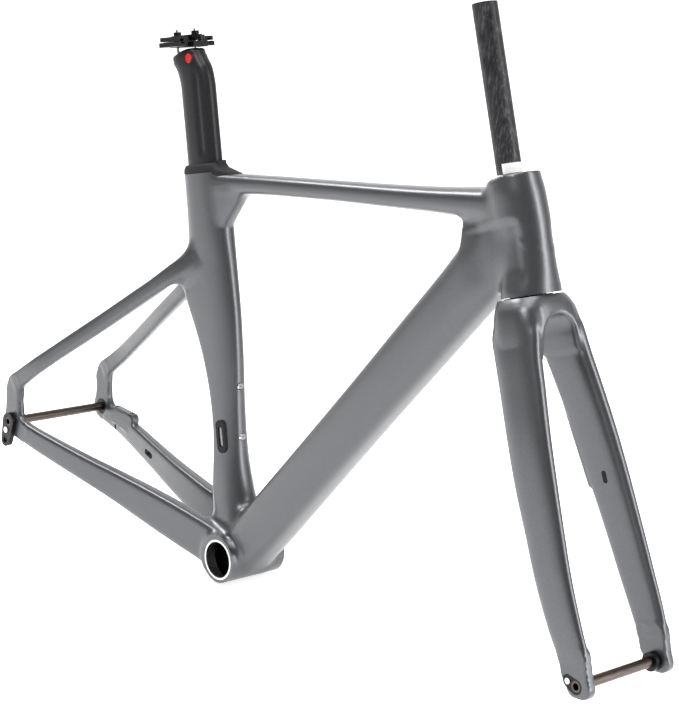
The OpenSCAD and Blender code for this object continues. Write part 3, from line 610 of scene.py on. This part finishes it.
def sleeve_metal_with_painted_shade(name, depth):
    """Bright turned ends; past a given depth in metres from each end, painted near-black as painted shade
    deep inside the bore.
    """
    m = metal(name, (0.62, 0.62, 0.63), 0.24, 700, (1, 14, 1))
    nt = m.node_tree
    b = next(n for n in nt.nodes if n.type == "BSDF_PRINCIPLED")
    bright = b.inputs["Base Color"].links[0].from_socket
    co = nt.nodes.new("ShaderNodeTexCoord")
    split = nt.nodes.new("ShaderNodeSeparateXYZ")
    link(nt, co.outputs["Object"], split.inputs[0])
    away, inside = nt.nodes.new("ShaderNodeMath"), nt.nodes.new("ShaderNodeMath")
    away.operation, inside.operation = "ABSOLUTE", "LESS_THAN"
    link(nt, split.outputs["Y"], away.inputs[0])
    link(nt, away.outputs[0], inside.inputs[0])
    inside.inputs[1].default_value = BB_WIDTH / 2000 - depth
    mix = nt.nodes.new("ShaderNodeMix")
    mix.data_type = "RGBA"
    link(nt, inside.outputs[0], mix.inputs["Factor"])
    link(nt, bright, mix.inputs[6])
    # near-black painted shade for the inside of the bore, past the given depth from each end
    mix.inputs[7].default_value = (0.008, 0.008, 0.008, 1)
    link(nt, mix.outputs[2], b.inputs["Base Color"])
    return m


def rubber(name, color, rough=0.7):
    m, nt, b = material(name, color, 0.0, rough, Specular_IOR_Level=0.2)
    grain, _ = noise(nt, 1500, 3, 0.7)
    tone = ramp(nt, grain.outputs["Fac"], [(0.3, [c * 0.8 for c in color]), (0.7, [c * 1.25 for c in color])])
    link(nt, tone.outputs["Color"], b.inputs["Base Color"])
    link(nt, spread(nt, grain.outputs["Fac"], rough * 0.85, min(1, rough * 1.15)), b.inputs["Roughness"])
    bump(nt, b, grain.outputs["Fac"], 0.3, 0.0003)
    return m


PAINT = grey_paint()
CARBON = black_carbon()
RAW = raw_carbon()
ALLOY = metal("alloy_turned", (0.62, 0.62, 0.63), 0.24, 700, (1, 14, 1))
STEEL = metal("steel_polished", (0.7, 0.7, 0.71), 0.16)
BRONZE = metal("axle_bronze", (0.085, 0.068, 0.06), 0.3, 800, (1, 0.08, 1))
BLACK_ALLOY = metal("alloy_black", (0.012, 0.012, 0.013), 0.34, 1100, metallic=0.85, coat=0.05)
RED_ALLOY = metal("alloy_red", (0.62, 0.012, 0.02), 0.22, 900, metallic=0.85, coat=0.3)
BEARING = metal("steel_ground", (0.4, 0.4, 0.41), 0.3, 900, (1, 1, 12))
RUBBER = rubber("rubber_black", (0.008, 0.008, 0.009))
GREY_RUBBER = rubber("rubber_grey", (0.26, 0.26, 0.265))
# turned alloy with painted shade deep inside the bore
SLEEVE = sleeve_metal_with_painted_shade("alloy_sleeve_painted_shade", 0.015)
LABEL = rubber("label_white", (0.72, 0.72, 0.71), 0.5)

# ---------------------------------------------------------------- frame shell
down_end = on_steer(0.53 * HEAD_LEN)
down_len = math.hypot(*down_end)
down_dir = (down_end[0] / down_len, down_end[1] / down_len)
down_up = (-down_dir[1], down_dir[0])
top_from, top_to = on_seat(SEAT_LEN - 19), on_steer(0.75 * HEAD_LEN)
top_len = math.hypot(top_to[0] - top_from[0], top_to[1] - top_from[1])
top_dir = ((top_to[0] - top_from[0]) / top_len, (top_to[1] - top_from[1]) / top_len)
top_up = (-top_dir[1], top_dir[0])


def shares(rows, length, power):
    """Loft rows whose places are shares of a length; the side offset may be left out."""
    return [(r[0] * length, r[1], r[2], r[3], r[4] if len(r) > 4 else 0.0, power) for r in rows]


shell = Shape()
head = Loft(
    (crown_x, crown_z), STEER_UP, STEER_FWD,
    [
        (-16, 37, 26, 32.5, 0, 2.2), (0, 37, 26, 32.5, 0, 2.3), (30, 38.2, 27, 28.6, 0, 2.2),
        (62, 39, 28, 27, 0, 2.2), (80, 39.8, 28, 28, 0, 2.2), (108, 38.5, 27.5, 28, 0, 2.2),
        (132, 35.5, 26, 26, 0, 2.2), (142, 35, 25, 25.5, 0, 2.2),
    ],
)
down = Loft(
    (0, 0), down_dir, down_up,
    shares(
        [
            [0, 30, 29, 33], [0.13, 31.5, 31.5, 32], [0.3, 32, 32, 30], [0.5, 32.5, 32.5, 28],
            [0.68, 34, 34, 27], [0.82, 35, 35, 26.5], [0.92, 38.5, 36, 26], [1.02, 43, 37, 25.5],
        ],
        down_len, 2.9,
    ),
)
top = Loft(
    top_from, top_dir, top_up,
    shares(
        [
            [0.0, 11, 16, 15], [0.05, 11, 16, 15], [0.19, 11.3, 13, 15.2], [0.26, 11.7, 12, 15.5],
            [0.45, 12, 12, 16], [0.62, 12.5, 13.5, 17.5], [0.78, 14, 15, 20], [0.9, 17, 18, 23],
            [1.03, 20, 24, 26],
        ],
        top_len, 2.8,
    ),
)
gusset = Loft(
    on_seat(416, 8), (SEAT_UP[0], SEAT_UP[1]), (SEAT_FWD[0], SEAT_FWD[1]),
    [(-30, 14, 20, 13, 0, 2.6), (-6, 25, 20, 14, 0, 2.6), (24, 54, 20, 15, 0, 2.6),
     (53, 82, 20, 15.5, 0, 2.6)],
)
web = Loft(
    on_steer(60), (-top_dir[0], -top_dir[1]), top_up,
    [(10, 30, 44, 24, 0, 2.6), (50, 28, 40, 22.5, 0, 2.6), (70, 20, 28, 21, 0, 2.6)],
)
seat = Loft(
    (-SEAT_OFFSET, 0), SEAT_UP, SEAT_FWD,
    [
        (0, 34, 30, 28, 0, 2.4), (49, 31, 30, 25.5, 0, 2.4), (84, 26.5, 32, 22.5, 0, 2.4),
        (124, 23.5, 36, 20, 0, 2.5), (178, 26.5, 40, 18, 0, 2.6), (257, 34.5, 48, 17.5, 0, 2.6),
        (316, 37.5, 60, 18, 0, 2.6), (361, 37, 56, 18.5, 0, 2.6), (405, 35.5, 37, 19, 0, 2.6),
        (454, 35.5, 34.5, 19, 0, 2.6), (484, 35, 34, 19, 0, 2.6), (496, 35, 34, 19, 0, 2.6),
    ],
)
shell.add(down, 1).add(seat, 18).add(head, 16).add(top, 12).add(gusset, 12).add(web, 14)

bb = Plate([(0, 0, SHELL_R), (0.01, 0.01, SHELL_R)], -BB_WIDTH / 2 - 3, BB_WIDTH / 2 + 3, 1.0)
shell.add(bb, 10)

cs_from, cs_to = (rear_x + 6, BB_DROP - 6), (-4, 4)
cs_len = math.hypot(cs_to[0] - cs_from[0], cs_to[1] - cs_from[1])
cs_dir = ((cs_to[0] - cs_from[0]) / cs_len, (cs_to[1] - cs_from[1]) / cs_len)
cs_up = (-cs_dir[1], cs_dir[0])
ss_from, ss_to = (rear_x - 4, BB_DROP + 53), on_seat(0.75 * SEAT_LEN, -28)
ss_len = math.hypot(ss_to[0] - ss_from[0], ss_to[1] - ss_from[1])
ss_dir = ((ss_to[0] - ss_from[0]) / ss_len, (ss_to[1] - ss_from[1]) / ss_len)
ss_up = (-ss_dir[1], ss_dir[0])
cs_rows = [
    [0, 14.5, 13.5, 6, 76], [0.08, 14.5, 14, 6.5, 74.5], [0.2, 15.5, 15.5, 7.5, 68],
    [0.35, 17, 17.5, 8.5, 58], [0.5, 20, 20.5, 9.5, 47.5], [0.65, 23.5, 24, 10.5, 39.5],
    [0.8, 26.5, 25.5, 11, 33.5], [0.93, 28, 25, 11, 30], [1, 28, 25, 11, 29],
]
ss_rows = [
    [0, 12, 12, 6, 76], [0.12, 11, 11, 6, 74], [0.3, 10.5, 10.5, 6.3, 64], [0.55, 10.5, 10.5, 7, 47],
    [0.8, 10.5, 10.5, 8, 32], [0.92, 12.5, 11.5, 8.5, 24], [1.07, 16, 11, 7, 11],
]


def on_side(rows, side):
    return [[*row[:4], row[4] * side] for row in rows]


for side in (-1, 1):
    cs = Loft(cs_from, cs_dir, cs_up, shares(on_side(cs_rows, side), cs_len, 4.6), 3.0, (3, 3, side))
    ss = Loft(ss_from, ss_dir, ss_up, shares(on_side(ss_rows, side), ss_len, 3.6), 3.0)
    drop = Plate(
        [(rear_x - 3, BB_DROP + 53, 12.2), (rear_x - 3, BB_DROP + 42, 14), (rear_x + 0.5, BB_DROP, 17.3),
         (rear_x + 20, BB_DROP - 7, 14)],
        side * REAR_IN, side * (REAR_IN + DROPOUT_T), 1.5, (3, 3, side, 0.95, 0.31),
    )
    shell.add(cs, 15).add(ss, 18).add(drop, 9)

# flat mount block on the left chainstay
brake_x, brake_y = rear_x + 56, STAY_Y - 7
block = Plate([(brake_x - 20, 66, 7), (brake_x + 20, 62, 7)], brake_y - 6.5, brake_y + 6.5, 2.0)
block2 = Plate([(brake_x - 19, 75, 8), (brake_x + 19, 74, 8)], brake_y - 6.5, brake_y + 6.5, 2.0)
shell.add(block, 4).add(block2, 3)


def wheel_cut(p, d):
    r = np.sqrt((p[:, 0] - rear_x) ** 2 + (p[:, 2] - BB_DROP) ** 2)
    return soft_max(d, -soft_max(r - WHEEL_CLEAR, np.abs(p[:, 1]) - 24.5, 8.0), 5.0)


shell.then(wheel_cut, (-230, -60, -60), (20, 60, 420))


def head_panel(p, d):
    """Side panel sunk behind the nose, under the top tube's ledge, and a top that slopes down at the back."""
    x, z = p[:, 0] - crown_x, p[:, 2] - crown_z
    s, n = x * STEER_UP[0] + z * STEER_UP[1], x * STEER_FWD[0] + z * STEER_FWD[1]
    ledge = LEDGE_S + LEDGE_SLOPE * n
    across = step(10, 18, np.abs(p[:, 1]))
    sink = PANEL_SINK * step(0, 9, ledge - s) * step(28, 13, n) * across * step(-75, -35, n)
    d = d + sink * (0.6 + 0.4 * step(-30, 10, n)) * step(0, 34, s)
    reach = np.minimum(np.sqrt(n * n + p[:, 1] ** 2) - 17, 14)
    cap = HEAD_LEN + 0.6 - 0.5 * np.maximum(reach, 0) * step(16, -6, n)
    cap = cap + 2.0 * np.maximum(0, -30 - n)  # lets go of the top tube behind the head
    return np.where(s > HEAD_LEN - 30, soft_max(d, (s - cap) * 0.9, 2.5), d)


shell.then(head_panel, (230, -60, 330), (500, 60, 620))

body = solid_of("frame_shell", shell, FRAME_GRID)

cutters = []
box = [(-33, -80), (80, -80), (80, 80), (-33, 80)]
sweep = [(0, 0), (36.6, 0), (41, -6), (46, -16), (48.5, -30), (51.5, -46), (54, -90), (0, -90)]
cutters.append(lathe(sweep, STEER))
cutters.append(prism([(8, -80), (90, -80), (90, 80), (8, 80)], -40, 0, STEER))
cutters.append(prism(box, HEAD_LEN, HEAD_LEN + 60, STEER))
cutters.append(lathe(
    [
        (0, -5), (LOW_SEAT_R, -5), (LOW_SEAT_R, LOW_SEAT_H), (LOW_LIP_R, LOW_SEAT_H),
        (LOW_LIP_R, HEAD_BORE_Z), (HEAD_BORE_R, HEAD_BORE_Z), (HEAD_BORE_R, UP_SEAT_Z),
        (UP_SEAT_R, UP_SEAT_Z), (UP_SEAT_R, 140), (0, 140),
    ],
    STEER,
))
cutters.append(prism([(-90, -60), (45, -60), (45, 60), (-90, 60)], SEAT_LEN - SEAT_TRIM, SEAT_LEN + 60, SEAT))
socket = superellipse(POST_H + POST_FIT, POST_H + POST_FIT, POST_W + POST_FIT, 2.5)
cutters.append(prism(socket, SEAT_LEN - 190, SEAT_LEN + 20, SEAT))
for side in (-1, 1):
    y = side * BB_WIDTH / 2
    cutters.append(prism(circle(0, 0, SHELL_R + 5, 96), y, y + side * 30, along="Y"))
cutters.append(prism(circle(0, 0, SLEEVE_R + BORE_FIT, 96), -80, 80, along="Y"))
cutters.append(prism(circle(rear_x, BB_DROP, AXLE_R + 0.4), -100, -60, along="Y"))
cutters.append(prism(circle(rear_x, BB_DROP, AXLE_R + 5.1), 60, 100, along="Y"))
cutters.append(prism(slot_outline(rear_x + 138, BB_DROP - 27, 7, 4, -8), 30, 90, along="Y"))
for dx in (-REAR_HOLE_HALF, REAR_HOLE_HALF):
    cutters.append(prism(circle(brake_x + dx, brake_y, HOLE_R, 32), 30, 110))
cutters.append(prism(slot_outline(6, PORT_AT * SEAT_LEN, PORT_HALF, PORT_R, 90), -30, -8, SEAT, along="Y"))
DOWN = side_matrix((0, 0), down_up, down_dir)
for d in (0, BOTTLE_GAP):
    s = SEAT_BOTTLE * SEAT_LEN - d
    front = 22.2 + max(0, s / SEAT_LEN - 0.25) * 35
    cutters.append(prism(circle(s, 0, RECESS_R, 40), front, front + 12, SEAT @ TURN))
    cutters.append(prism(circle(DOWN_BOTTLE * down_len + d, 0, RECESS_R, 40), 31.6, 45, DOWN))
carve(body, cutters)
finish_piece(
    body, PAINT, "frame",
    [
        "head_tube", "top_tube", "down_tube", "seat_tube", "bb_shell", "chainstay_right", "chainstay_left",
        "seatstay_right", "seatstay_left", "dropout_right", "dropout_left", "brake_mount_rear",
    ],
)

# ---------------------------------------------------------------- fork shell
fork = Shape()
crown = Loft(
    (crown_x, crown_z), STEER_UP, STEER_FWD,
    [
        (-66, 37, 20, 48.6, 0, 3.4), (-43, 40, 26, 47.4, 0, 3.7), (-30, 41, 27, 46, 0, 3.6),
        (-16, 39.5, 27, 43.5, 0, 3.3), (-6, 36.5, 27, 38.5, 0, 3.0), (0, 33, 26.5, 34.2, 0, 2.8),
    ],
    1.5,
)
fork.add(crown, 1)


def arch(p, d):
    """Round arch for the tyre, running out into the gap between the blades."""
    x, z = p[:, 0] - crown_x, p[:, 2] - crown_z
    s = x * STEER_UP[0] + z * STEER_UP[1]
    y = np.abs(p[:, 1])
    below = s - ARCH_S
    hole = np.where(below > 0, np.sqrt(y * y + below**2) - ARCH_R, y - ARCH_R + ARCH_SPREAD * below)
    return soft_max(d, -hole, 5.0)


blade_rows = [
    (-18, 34, 22, 7, 31), (-43, 39.5, 26, 11, 35), (-60, 39.8, 23, 11, 38.2), (-100, 43.5, 16.8, 10.5, 44.5),
    (-150, 48, 9.8, 10, 52), (-200, 52.3, 3.4, 9.3, 57.3), (-250, 56, -4.7, 8.6, 61.3),
    (-300, 60, -12, 8, 64.6), (-350, 65.4, -21.5, 7.3, 65.8), (-385, 69, -30, 6.6, 64.5),
]
for side in (-1, 1):
    rows = sorted([(s, a, b, w, y * side, 2.9) for s, a, b, w, y in blade_rows])
    fork.add(Loft((crown_x, crown_z), STEER_UP, STEER_FWD, rows, 3.0), 9)
    outline = [(39.5, 30, 9.5), (42, 14, 9.5), (50, 1, 13), (57.5, -3.5, 9), (59.5, 30, 9)]
    discs = [(*on_steer(s - fork_down, n), r) for n, s, r in outline]
    fork.add(Plate(discs, side * END_IN, side * (END_IN + END_T), 2.5), 6)
pad_rows = [(-219, 10, 3, 6.3, 59.3, 5), (-170, 12, 9.2, 6.3, 54.1, 5), (-121, 12, 15, 6.3, 48.9, 5)]
fork.add(Loft((crown_x, crown_z), STEER_UP, STEER_FWD, pad_rows, 3.0), 2.5)
fork.then(arch, (380, -30, 260), (560, 30, 460))
fork_body = solid_of("fork_shell", fork, FORK_GRID)
cutters = [prism([(-70, -80), (80, -80), (80, 80), (-70, 80)], -1.6, 20, STEER)]
cutters.append(lathe([(0, -18.1), (20, -18.1), (20, 10), (0, 10)], STEER))
cutters.append(prism(circle(front_x, BB_DROP, AXLE_R + 4.6), 40, 90, along="Y"))
oval = []
lobes = ((front_x, BB_DROP, 8.6, -105, 72), (front_x - 11, BB_DROP + 2.75, 7.3, 75, 252))
for x, z, radius, first, last in lobes:
    for a in range(first, last, 6):
        oval.append((x + radius * math.cos(math.radians(a)), z + radius * math.sin(math.radians(a))))
cutters.append(prism(oval, -90, -END_IN + 0.5, along="Y"))
for dz in (-FRONT_HOLE_HALF, FRONT_HOLE_HALF):
    cutters.append(prism(circle(-170 + dz, 54.1 - dz * 0.11, HOLE_R, 32), -60, 10, STEER @ TURN))
cutters.append(prism(slot_outline(27, -207, 4, 3.25, 90), 40, 54.4, STEER, along="Y"))
carve(fork_body, cutters)
finish_piece(
    fork_body, PAINT, "fork",
    [
        "fork_crown", "fork_blade_right", "fork_blade_left", "fork_end_right", "fork_end_left",
        "brake_mount_front",
    ],
)

# ---------------------------------------------------------------- seatpost, collar and label
HEAD_TILT, CLAMP_TILT = math.radians(21.8), math.radians(12)
head_at = on_seat(SEAT_LEN + POST_OUT + 47, -17)
barrel_at = (
    head_at[0] + 17 * math.cos(HEAD_TILT) + 10 * math.sin(HEAD_TILT),
    head_at[1] + 17 * math.sin(HEAD_TILT) - 10 * math.cos(HEAD_TILT),
)
clamp_sin, clamp_cos = math.sin(CLAMP_TILT), math.cos(CLAMP_TILT)
CLAMP = side_matrix(barrel_at, (-clamp_sin, clamp_cos), (clamp_cos, clamp_sin))
post_top = SEAT_LEN + POST_OUT
post_rows = [
    (SEAT_LEN - 125, POST_H, POST_H, POST_W), (post_top - 60, POST_H, POST_H, POST_W),
    (post_top + 2, POST_H, 27.6, POST_W), (post_top + 16, 26.0, 29.6, POST_W),
    (post_top + 27, 23.4, 33.5, POST_W), (post_top + 36, 18.5, 39.0, 13.8), (post_top + 43, 14.0, 39.5, 13.6),
    (post_top + 48, 11.5, 28, 13.4), (post_top + 52, 9, 11, 13.2),
]
post = Shape()
post.add(Loft((-SEAT_OFFSET, 0), SEAT_UP, SEAT_FWD, [(*r, 0, 2.6) for r in post_rows], 5.0), 1)


def post_groove(p, d):
    """Shallow hollow down each side of the post, behind its widest line."""
    x, z = p[:, 0] + SEAT_OFFSET, p[:, 2]
    s, n = x * SEAT_UP[0] + z * SEAT_UP[1], x * SEAT_FWD[0] + z * SEAT_FWD[1]
    depth = np.exp(-(((n - 11) / 4.5) ** 2)) * step(5, 9, np.abs(p[:, 1]))
    return d + 1.8 * depth * step(SEAT_LEN + 4, SEAT_LEN + 20, s) * step(post_top + 34, post_top + 10, s)


post.then(post_groove)
post_body = solid_of("seatpost_body", post, POST_GRID)
carve(post_body, [
    prism(circle(0, 0, 6.05), -30, 30, CLAMP, along="Y"),
    prism(circle(0, 0, 4.6, 40), -12, 48, CLAMP),
    prism(circle(-36, 0, 5.0, 40), 4, 44, CLAMP),
])
finish_piece(post_body, CARBON, "post", ["seatpost", "seatpost_head"])

collar = Shape()
collar_rows = [
    (SEAT_LEN - 9.9, 35.4, 34.8, 19.5), (SEAT_LEN - 4, 34.6, 34, 19), (SEAT_LEN + 1.5, 31.4, 31, 17),
]
collar.add(Loft((-SEAT_OFFSET, 0), SEAT_UP, SEAT_FWD, [(*r, 0, 2.5) for r in collar_rows], 1.6), 1)
tail_rows = [(22, 10, 8, 15), (36, 7, 8, 13), (52, 3.6, 8, 10), (66, 1.2, 8, 6)]
tail_at = (top_from[0] + top_up[0] * 11, top_from[1] + top_up[1] * 11)
collar.add(Loft(tail_at, top_dir, top_up, [(*r, 0, 3.0) for r in tail_rows], 1.6), 5)
collar_body = solid_of("seat_collar_cover", collar, COLLAR_GRID)
carve(collar_body, [prism(socket, SEAT_LEN - 60, SEAT_LEN + 60, SEAT)])
finish_piece(collar_body, RUBBER, "frame", ["seat_collar"])


def band(name, r_in, r_out, z0, z1, a0, a1, matrix, n=40):
    """Closed strip of a tube between two angles about local z."""
    ring = [math.radians(a0 + (a1 - a0) * i / n) for i in range(n + 1)]
    outline = [(r_out * math.cos(a), r_out * math.sin(a)) for a in ring]
    outline += [(r_in * math.cos(a), r_in * math.sin(a)) for a in reversed(ring)]
    bm = prism(outline, z0, z1, matrix)
    mesh = bpy.data.meshes.new(name)
    bm.to_mesh(mesh)
    bm.free()
    return new_object(name, mesh)


label = band(
    "steerer_label", STEERER_R - 0.02, STEERER_R + 0.18, HEAD_LEN + 1.5, HEAD_LEN + 12.5, -78, 52, STEER
)
finish_piece(label, LABEL, "fork")

# ---------------------------------------------------------------- carried-over CAD nodes
looks = [
    (SLEEVE, ["bb_sleeve"]),
    (BLACK_ALLOY, [
        "axle_bush_rear", "derailleur_hanger", "seat_wedge", "seat_wedge_bolt", "upper_bearing_cup",
        "lower_bearing_cup", "axle_nut_front", "axle_bush_front", "crown_race", "rail_cradle", "rail_cap",
        "clamp_nut",
    ]),
    (STEEL, ["hanger_bolt", "bottle_bolts", "axle_nut_screw", "clamp_bolts"]),
    (RUBBER, ["port_cover", "hose_grommet"]),
    (GREY_RUBBER, ["port_plug"]),
    (ALLOY, ["bottle_rivnuts", "compression_ring"]),
    (RAW, ["steerer"]),
    (BEARING, ["upper_bearing_ring", "lower_bearing_ring"]),
    (RED_ALLOY, ["pivot_barrel"]),
    (BRONZE, ["rear_axle", "front_axle"]),
]
for mat, names in looks:
    for name in names:
        nodes[name].data.materials.clear()
        nodes[name].data.materials.append(mat)

# ---------------------------------------------------------------- floor, light, camera
FLOOR_ROWS, FLOOR_HALF, FLOOR_FRONT, FLOOR_BACK, BEND_R = 24, 9.0, -4, 3.0, 1.5
BEND_FROM, BEND_TO, BEND_SPAN, WALL_SCALE = 0.45, 0.65, 0.2, 16
FLOOR_AT, FLOOR_TURN, FLOOR_GLOW, WORLD_GLOW = (0.1, 0.1, -0.033), 46.4, 0.62, 0.24


def stage_floor():
    """Level floor that bends up into a back wall, in metres, turned to face the camera."""
    verts, faces = [], []
    for i in range(FLOOR_ROWS + 1):
        t = i / FLOOR_ROWS
        a = math.radians(90 * min(1, max(0, (t - BEND_FROM) / BEND_SPAN)))
        if t < BEND_FROM:
            y, z = FLOOR_FRONT + t / BEND_FROM * (FLOOR_BACK - FLOOR_FRONT), 0.0
        elif t < BEND_TO:
            y, z = FLOOR_BACK + BEND_R * math.sin(a), BEND_R * (1 - math.cos(a))
        else:
            y, z = FLOOR_BACK + BEND_R, BEND_R + (t - BEND_TO) * WALL_SCALE
        for x in (-FLOOR_HALF, FLOOR_HALF):
            verts.append((x, y, z))
    for i in range(FLOOR_ROWS):
        faces.append((2 * i, 2 * i + 1, 2 * i + 3, 2 * i + 2))
    mesh = bpy.data.meshes.new("floor")
    mesh.from_pydata(verts, [], faces)
    for poly in mesh.polygons:
        poly.use_smooth = True
    o = new_object("floor", mesh)
    o.rotation_euler = (0, 0, math.radians(FLOOR_TURN))
    o.location = FLOOR_AT
    m, nt, b = material("floor_white", (0.93, 0.93, 0.93), 0.0, 0.6)
    b.inputs["Emission Color"].default_value = (1, 1, 1, 1)
    b.inputs["Emission Strength"].default_value = FLOOR_GLOW
    n, _ = noise(nt, 3, 2, 0.5)
    tone = ramp(nt, n.outputs["Fac"], [(0.3, (0.92, 0.92, 0.92)), (0.7, (0.94, 0.94, 0.94))])
    link(nt, tone.outputs["Color"], b.inputs["Base Color"])
    o.data.materials.append(m)


stage_floor()


def area_light(name, at, size, power, size_y=None):
    """Soft light of a size in metres and a power in watts, aimed at the middle of the frame."""
    data = bpy.data.lights.new(name, "AREA")
    data.energy, data.size = power, size
    if size_y:
        data.shape, data.size_y = "RECTANGLE", size_y
    o = bpy.data.objects.new(name, data)
    bpy.context.scene.collection.objects.link(o)
    o.location = at
    o.rotation_mode = "QUATERNION"
    o.rotation_quaternion = (MID - at).to_track_quat("-Z", "Y")


CAM_AZ, CAM_DISTANCE = 46.384, 2.711356
FOCAL, PICTURE_H, CENTRE_ROW, SENSOR = 2136.42, 706, 250, 36.0
BACK = Vector((0.70686, -0.67359, 0.21596))
RIGHT = Vector((math.cos(math.radians(CAM_AZ)), math.sin(math.radians(CAM_AZ)), 0))
MID = Vector((0.1, 0, 0.35))
area_light("key", MID - RIGHT * 1.5 + BACK * 1.5 + Vector((0, 0, 1.9)), 1.3, 68)
area_light("strip", MID + RIGHT * 2.0 + BACK * 0.7 + Vector((0, 0, 0.5)), 0.5, 45, 2.2)
area_light("rim", MID + Vector((-1.84, -0.56, 1.75)), 0.7, 46)
area_light("top", MID + Vector((0, 0, 2.4)), 1.8, 62)
world = bpy.data.worlds.new("studio")
world.use_nodes = True
world.node_tree.nodes["Background"].inputs["Color"].default_value = (1, 1, 1, 1)
world.node_tree.nodes["Background"].inputs["Strength"].default_value = WORLD_GLOW
bpy.context.scene.world = world
bpy.context.scene.view_settings.view_transform = "Standard"

cam_data = bpy.data.cameras.new("camera")
cam = bpy.data.objects.new("camera", cam_data)
bpy.context.scene.collection.objects.link(cam)
az, el, roll = math.radians(CAM_AZ), math.radians(12.472), math.radians(5.009)
back = Vector((math.sin(az) * math.cos(el), -math.cos(az) * math.cos(el), math.sin(el)))
right = Vector((math.cos(az), math.sin(az), 0))
up = back.cross(right)
r2 = right * math.cos(roll) + up * math.sin(roll)
u2 = -right * math.sin(roll) + up * math.cos(roll)
loc = Vector((0, 0.120702, 0.385953)) + back * CAM_DISTANCE
cam.matrix_world = Matrix(
    ((r2.x, u2.x, back.x, loc.x), (r2.y, u2.y, back.y, loc.y), (r2.z, u2.z, back.z, loc.z), (0, 0, 0, 1))
)
cam_data.sensor_width = SENSOR
cam_data.lens = FOCAL * SENSOR / PICTURE_H
cam_data.shift_x = 0.0
cam_data.shift_y = -(PICTURE_H / 2 - CENTRE_ROW) / PICTURE_H
cam_data.clip_end = 100
bpy.context.scene.camera = cam

bpy.context.view_layer.update()
